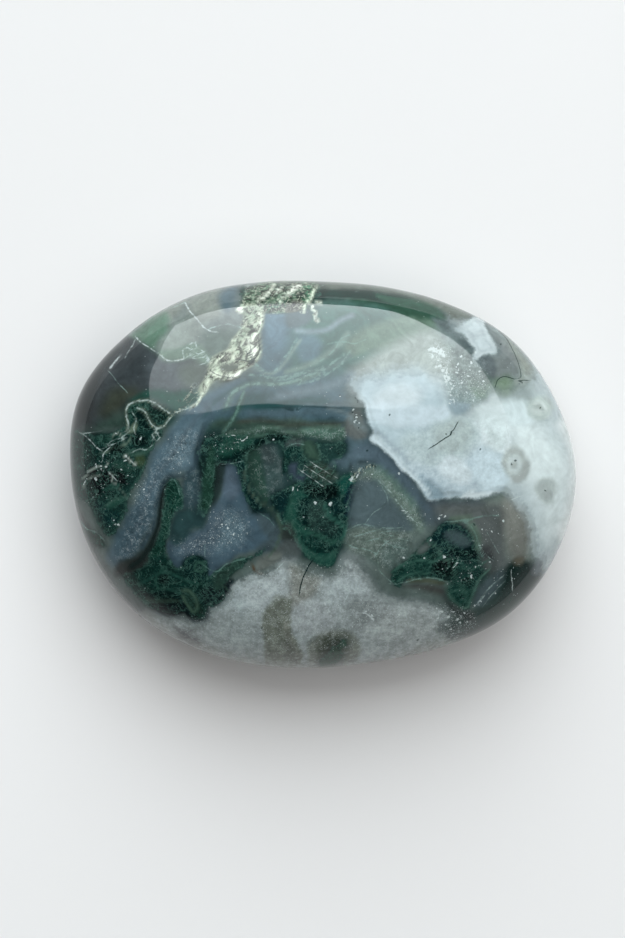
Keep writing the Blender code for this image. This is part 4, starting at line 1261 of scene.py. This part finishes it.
def depth_inside(outline, margin=30.0):
    """Pixels from the outline, above 0 inside it and below 0 outside."""
    curve = flowing(outline, True)
    depth = np.full(len(pixel_x), -margin)
    chosen = near_points(curve, margin)
    x, y = pixel_x[chosen], pixel_y[chosen]
    nearest = np.full(len(chosen), margin**2)
    inside = np.zeros(len(chosen), bool)
    for (x0, y0), (x1, y1) in zip(curve, np.roll(curve, -1, axis=0)):
        run_x, run_y = x1 - x0, y1 - y0
        along = np.clip(((x - x0) * run_x + (y - y0) * run_y) / max(run_x**2 + run_y**2, 1e-9), 0.0, 1.0)
        nearest = np.minimum(nearest, (x - x0 - along * run_x) ** 2 + (y - y0 - along * run_y) ** 2)
        if y0 != y1:
            inside ^= ((y0 > y) != (y1 > y)) & (x < run_x * (y - y0) / run_y + x0)
    depth[chosen] = np.where(inside, 1.0, -1.0) * np.sqrt(nearest)
    return depth


def zone_share(outline, soft):
    """1 inside the outline and 0 outside, with an edge that fades over twice as many pixels as soft."""
    t = np.clip(depth_inside(outline, 2.0 * soft + 4.0) / (2.0 * soft) + 0.5, 0.0, 1.0)
    return t * t * (3.0 - 2.0 * t)


def beside_line(line, margin):
    """Pixels from the line, and pixels to its left or right, for the mesh's points within the margin."""
    curve = flowing(line, False)
    chosen = near_points(curve, margin)
    best = np.full(len(chosen), margin)
    side = np.zeros(len(chosen))
    for (x0, y0), (x1, y1) in zip(curve[:-1], curve[1:]):
        run_x, run_y = x1 - x0, y1 - y0
        long = math.hypot(run_x, run_y)
        x, y = pixel_x[chosen] - x0, pixel_y[chosen] - y0
        along = np.clip((x * run_x + y * run_y) / long**2, 0.0, 1.0)
        far = np.hypot(x - along * run_x, y - along * run_y)
        side = np.where(far < best, (x * run_y - y * run_x) / long, side)
        best = np.minimum(best, far)
    return chosen, best, side


def lines_beside(lines):
    """For the nearest line: the side distance in half-widths, how near it is from 0 to 1, and its tone."""
    best = np.full(len(pixel_x), NEAR)
    side = np.full(len(pixel_x), FARTHEST)
    tone = np.zeros(len(pixel_x))
    for half_width, line_tone, line in lines:
        chosen, far, aside = beside_line(line, NEAR)
        closer = far < best[chosen]
        changed = chosen[closer]
        best[changed] = far[closer]
        side[changed] = aside[closer] / half_width
        tone[changed] = line_tone
    return np.column_stack([side, np.clip((LINE_FADE[0] - best) / LINE_FADE[1], 0.0, 1.0), tone])


def specks_beside(specks):
    """For the nearest speck: the way to its middle in its own radii, and how near it is from 0 to 1.

    Each speck is drawn out along a way of its own.
    """
    specks = np.array(specks, float)
    far = np.hypot(pixel_x[:, None] - specks[:, 0], pixel_y[:, None] - specks[:, 1]) - specks[:, 2]
    nearest = specks[far.argmin(1)]
    turn = nearest[:, 0] * 1.7 + nearest[:, 1]
    away_x, away_y = pixel_x - nearest[:, 0], pixel_y - nearest[:, 1]
    along = (away_x * np.cos(turn) + away_y * np.sin(turn)) * (0.86 + 0.14 * np.sin(turn * 3.0))
    aside = (away_y * np.cos(turn) - away_x * np.sin(turn)) * 1.2
    along, aside = (np.clip(way / nearest[:, 2], -FARTHEST, FARTHEST) for way in (along, aside))
    close = np.clip((SPECK_FADE[0] - far.min(1)) / SPECK_FADE[1], 0.0, 1.0)
    return np.column_stack([along, aside, close])


def keep(name, kind, values):
    """Stores a value for each of the mesh's points, for the material to read."""
    attribute = stone_mesh.attributes.new(name, kind, "POINT")
    field = {"FLOAT": "value", "FLOAT_VECTOR": "vector", "FLOAT_COLOR": "color"}[kind]
    attribute.data.foreach_set(field, np.asarray(values, np.float32).ravel())


def painted(colours, zones):
    """The colours with the zones laid over them in turn."""
    for colour, soft, outline in zones:
        cover = zone_share(outline, soft)[:, None]
        colours = colours * (1.0 - cover) + np.array(colour) * cover
    return colours


def stroked(colours, strokes):
    """The colours with soft strokes along the lines laid over them in turn."""
    for colour, half_width, soft, line in strokes:
        chosen, far, aside = beside_line(line, half_width + soft + 1.0)
        cover = np.clip((half_width + soft - far) / (2.0 * soft), 0.0, 1.0)[:, None]
        colours[chosen] = colours[chosen] * (1.0 - cover) + np.array(colour) * cover
    return colours


everywhere = np.ones((len(pixel_x), 1))
ground = painted(everywhere * np.array(GREY), ZONES)
veil = painted(everywhere * np.array(MILK), VEIL_ZONES)
pixel_x, pixel_y = crisp_x, crisp_y
ground = stroked(painted(ground, DETAILS), STROKES)
moss_paint = stroked(painted(everywhere * np.array(MOSS_GREEN), DETAILS), STROKES)
for name, colours in (("ground", ground), ("veil", veil), ("moss_paint", moss_paint)):
    keep(name, "FLOAT_COLOR", np.hstack([colours, everywhere]))
keep("veil_depth", "FLOAT", np.max([depth_inside(outline) for outline in VEILS], axis=0))

moss = np.max([depth_inside(outline) for outline in MOSS], axis=0)
moss = np.minimum(moss, -np.max([depth_inside(outline, 60.0) for outline in MOSS_HOLES], axis=0))
keep("moss", "FLOAT", moss)

lace = np.max([depth_inside(outline) for outline in LACE_PATCHES], axis=0)
lace = np.minimum(lace, -np.max([depth_inside(outline) for outline in LACE_WINDOWS], axis=0))
lace = np.maximum(lace, -LACE_REACH)
for half_width, line in LACE:
    chosen, far, aside = beside_line(line, LACE_REACH)
    lace[chosen] = np.maximum(lace[chosen], half_width - far)
keep("lace", "FLOAT", lace)

for name, zones in (("glint", GLINTS), ("grain", GRAIN), ("veil_soft", VEIL_SOFT)):
    shares = [strength * zone_share(outline, soft) for strength, soft, outline in zones]
    keep(name, "FLOAT", np.max(shares, axis=0))
keep("thread", "FLOAT_VECTOR", lines_beside(THREADS[0::2]))
keep("thread_between", "FLOAT_VECTOR", lines_beside(THREADS[1::2]))
keep("hair", "FLOAT_VECTOR", lines_beside(HAIRS))
keep("white_speck", "FLOAT_VECTOR", specks_beside(WHITE_SPECKS))
keep("dark_speck", "FLOAT_VECTOR", specks_beside(DARK_SPECKS))

# The stone's material
# Opaque colour under a mirror polish. The traced fields say where each mineral is, and noise on the
# stone's own coordinates frays their edges and gives each its grain, threads and depth.

MOSS_LIGHT = (0.072, 0.160, 0.128, 1.0)
MOSS_SHADE = (0.50, 0.55, 0.56, 1.0)
LACE_WHITE = (0.66, 0.71, 0.56, 1.0)
THREAD_MINT = (0.21, 0.40, 0.345, 1.0)
FLECK_WHITE = (0.68, 0.77, 0.76, 1.0)
HAIR_DARK = (0.008, 0.028, 0.026, 1.0)
SEAM_BLUE = (0.035, 0.060, 0.075, 1.0)
PIGMENT = 0.68  # all colours, against the light of the softbox and the fill together
TO_MM = (1.0 / MM, 1.0 / MM, 1.0 / MM)

looks = Maker(stone_material.node_tree)
spot = looks.vector("MULTIPLY", looks.node("ShaderNodeTexCoord", None, None, 3), TO_MM)


def cloud(waves, detail=2.0, rough=0.5, bent=0.0, at=spot):
    """Fractal noise about 0.5, of so many waves to a millimetre."""
    return looks.node(
        "ShaderNodeTexNoise",
        {"noise_dimensions": "3D"},
        {"Vector": at, "Scale": waves, "Detail": detail, "Roughness": rough, "Distortion": bent},
    )


def cells(waves, output="Distance"):
    """How far the nearest of many scattered points is, or its colour, with so many cells to a millimetre."""
    kinds = {"feature": "F1", "voronoi_dimensions": "3D"}
    return looks.node("ShaderNodeTexVoronoi", kinds, {"Vector": spot, "Scale": waves}, output)


def field(name, output=2):
    """A traced field: its colour is output 0, its vector 1 and its number 2."""
    return looks.node("ShaderNodeAttribute", {"attribute_name": name}, None, output)


def swung(*layers):
    """The sum of the noises, each swinging about 0 by so much."""
    return sum((layer - 0.5) * far for layer, far in layers)


def ridge(layer, sharpness):
    """1 on the lines where the noise crosses its middle, and 0 away from them."""
    return (1.0 - abs(layer - 0.5) * sharpness).greater(0.0)


def toned(paint, tone):
    """The paint, lighter where the tone is above 1 and darker where it is below."""
    return looks.vector("MULTIPLY", paint, looks.join(tone, tone, tone))


broad = cloud(0.16, 2.0)
streaks = cloud(0.30, 4.0, 0.6, 1.6)
curls = cloud(0.42, 4.0, 0.6, 1.2)
middling = cloud(0.5, 3.0, 0.55)
fine = cloud(1.3, 3.0, 0.6)
finest = cloud(3.2, 2.0, 0.6)

# ground: slow changes of tone, and grains
ground = field("ground", 0)
grain = field("grain")
ground_tone = swung((broad, 0.5), (streaks, 1.1), (fine, grain * 0.6 + 0.35), (finest, grain * 1.1 + 0.2))
colour = toned(ground, ground_tone + 1.0)

# veils: milk with a pale, banded edge and a dark seam outside it, and granular quartz. The edge is
# frayed by so many pixels, and more where it is soft
SEAM_SPAN = (-7.0, -0.5, 1.0)  # pixels from the edge: where the seam starts, is darkest and ends
SEAM_STRENGTH = 0.35
BAND_SPAN = 14.0  # pixels inwards
BAND_WAVES = 0.9  # radians to a pixel
BAND_TONE = 0.10

veil_soft = field("veil_soft")
veil_fray = swung((middling, veil_soft * 10.0 + 4.0), (fine, veil_soft * 5.0 + 4.0), (finest, 2.0))
veil_edge = field("veil_depth") + veil_fray
seam_start, seam_middle, seam_end = SEAM_SPAN
seam = veil_edge.ramp(seam_start, seam_middle) * veil_edge.ramp(seam_end, seam_middle)
colour = looks.mix(seam * SEAM_STRENGTH * (1.0 - veil_soft), colour, SEAM_BLUE)
bands = (veil_edge * BAND_WAVES + swung((middling, 6.0))).sum("SINE") * veil_edge.ramp(BAND_SPAN, 0.0)
veil_tone = swung((streaks, 0.50), (middling, 0.36), (fine, 0.20)) + bands * BAND_TONE + 1.0
granular = (swung((finest, 0.9), (fine, 0.6), (middling, 0.7)) + 0.06) * grain + 1.0
veil_cover = (veil_edge / (veil_soft * 9.0 + 2.4)).ramp(-1.0, 1.3)
colour = looks.mix(veil_cover, colour, toned(field("veil", 0), veil_tone * granular))

# fibres: fine and pale, wherever the stone is granular
FIBRE_STRENGTH = 0.40

fibres = ridge(cloud(1.5, 2.0, 0.5, 2.2), 16.0) * fine.ramp(0.46, 0.58) * grain
colour = looks.mix(fibres * FIBRE_STRENGTH, colour, FLECK_WHITE)

# moss: painted green and black, with a soft shadow round it, broken up by curls, lit filaments and a
# pale fringe. Light greens are calm: less broken up than dark ones
MOSS_SHADOW_SPAN = (-9.0, 1.0)  # pixels from the frayed edge
MOSS_SHADOW_STRENGTH = 0.8
MOSS_COVER = 0.96
CALM_GREENS = (0.030, 0.085)

moss_edge = field("moss") + swung((fine, 6.0), (finest, 4.0), (middling, 4.0))
shadow = moss_edge.ramp(*MOSS_SHADOW_SPAN) * MOSS_SHADOW_STRENGTH
colour = looks.mix(shadow, colour, looks.mix(1.0, colour, MOSS_SHADE, "MULTIPLY"))
moss_paint = field("moss_paint", 0)
calm = looks.split(moss_paint)[1].ramp(*CALM_GREENS)
depths = swung((curls, 1.3), (fine, 0.9), (finest, 0.9)) * (1.0 - calm * 0.6) + 0.98
moss_colour = toned(moss_paint, depths.greater(0.1))
strands = ridge(cloud(0.5, 3.0, 0.6, 1.8), 36.0) * middling.ramp(0.42, 0.52)
filament = ridge(cloud(1.1, 2.0, 0.55, 1.2), 24.0) * fine.ramp(0.44, 0.54)
fringe = moss_edge.ramp(0.0, 1.2) * moss_edge.ramp(3.6, 1.2) * fine.ramp(0.36, 0.55)
lit = (strands * 0.75 + filament * 0.60) * (1.0 - calm * 0.4) + fringe * 0.28
moss_colour = looks.mix(lit.lesser(0.8), moss_colour, MOSS_LIGHT)
colour = looks.mix(moss_edge.ramp(-1.6, 1.4) * MOSS_COVER, colour, moss_colour)

# lace: crumpled pale film, drawn out along the vein, with olive and dark green gaps
VEIN_RUN = (0.8, 0.6)  # the vein's direction across the stone
VEIN_STRETCH = 0.55  # waves along the vein to each wave across it
WIRE_STRENGTH = 0.6

spot_x, spot_y, spot_z = looks.split(spot)
across_vein = spot_x * VEIN_RUN[0] - spot_y * VEIN_RUN[1]
down_vein = (spot_x * VEIN_RUN[1] + spot_y * VEIN_RUN[0]) * VEIN_STRETCH
along_vein = looks.join(across_vein, down_vein, spot_z)
lace_cover = (field("lace") + swung((fine, 6.0), (finest, 4.0))).ramp(-1.5, 1.5)
crumple = cloud(1.3, 4.0, 0.66, 0.8, along_vein)
wires = ridge(cloud(1.0, 2.0, 0.6, 1.0, along_vein), 18.0) * finest.ramp(0.38, 0.58)
lace_tone = crumple.ramp(0.38, 0.62) * 1.55 + crumple.ramp(0.60, 0.72) * 0.6 + 0.22
lace_colour = looks.mix(wires * WIRE_STRENGTH, toned(ground, lace_tone), LACE_WHITE)
colour = looks.mix(lace_cover, colour, lace_colour)

# swirls and threads: of uneven width, and broken in places
for name in ("thread", "thread_between"):
    aside, near, whiteness = looks.split(field(name, 1))
    line = abs(aside + swung((finest, 2.6))).ramp(1.4, 0.3) * near
    line = line * (fine.ramp(0.38, 0.60) * 0.85 + 0.15) * (whiteness * 0.42 + 0.40)
    colour = looks.mix(line, colour, looks.mix(whiteness, THREAD_MINT, FLECK_WHITE))

# hairs and dark specks
DARK_SPECK_STRENGTH = 0.75

aside, near, strength = looks.split(field("hair", 1))
hair_line = abs(aside + swung((finest, 1.2))).ramp(1.3, 0.5) * near * strength
colour = looks.mix(hair_line, colour, HAIR_DARK)


def specks(name, ragged):
    """How fully each place is covered by the nearest speck, whose edge is ragged by noise."""
    away_x, away_y, close = looks.split(field(name, 1))
    far = (away_x * away_x + away_y * away_y).sum("SQRT") + swung((finest, ragged))
    return far.ramp(1.15, 0.55) * close


colour = looks.mix(specks("dark_speck", 1.0) * DARK_SPECK_STRENGTH, colour, HAIR_DARK)

# white specks of the stone's own, and painted glints: flecks where crystals sparkle and a fine dust of them
FLECK_CELLS = 4.2  # to a millimetre
GLINT_DUST_CELLS = 7.5
GLINT_FLECK_STRENGTH = 0.7
GLINT_DUST_STRENGTH = 0.22
BRIGHT_COVER = 0.85

glint = field("glint")
fleck_near = cells(FLECK_CELLS) + swung((finest, 0.6))
fleck_kind = looks.split(cells(FLECK_CELLS, "Color"))[0] + swung((fine, 0.9))
# painted highlights: glint flecks and their fine dust, where the crystals sparkle; the white specks are the
# stone's own
glint_flecks = fleck_near.ramp(0.40, 0.12) * (fleck_kind - (1.0 - glint * 0.42)).ramp(0.0, 0.12)
glint_dust = cells(GLINT_DUST_CELLS).ramp(0.42, 0.2) * (fine - glint * 0.16).ramp(0.42, 0.34) * glint.lesser(1.0)
bright = (specks("white_speck", 3.0) + glint_flecks * GLINT_FLECK_STRENGTH + glint_dust * GLINT_DUST_STRENGTH).lesser(1.0)
colour = looks.mix(bright * BRIGHT_COVER, colour, FLECK_WHITE)

# the polish, a little duller on the lace
POLISH_ROUGHNESS = 0.03
LACE_ROUGHNESS = 0.10  # more than the polish
CHALCEDONY_IOR = 1.54

colour = looks.vector("MULTIPLY", colour, (PIGMENT, PIGMENT, PIGMENT))
roughness = lace_cover * LACE_ROUGHNESS + POLISH_ROUGHNESS
stone_shader = stone_material.node_tree.nodes["Principled BSDF"]
stone_material.node_tree.links.new(colour.socket, stone_shader.inputs["Base Color"])
stone_material.node_tree.links.new(roughness.socket, stone_shader.inputs["Roughness"])
stone_shader.inputs["IOR"].default_value = CHALCEDONY_IOR

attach(stone, "root")
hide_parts("moss_agate")
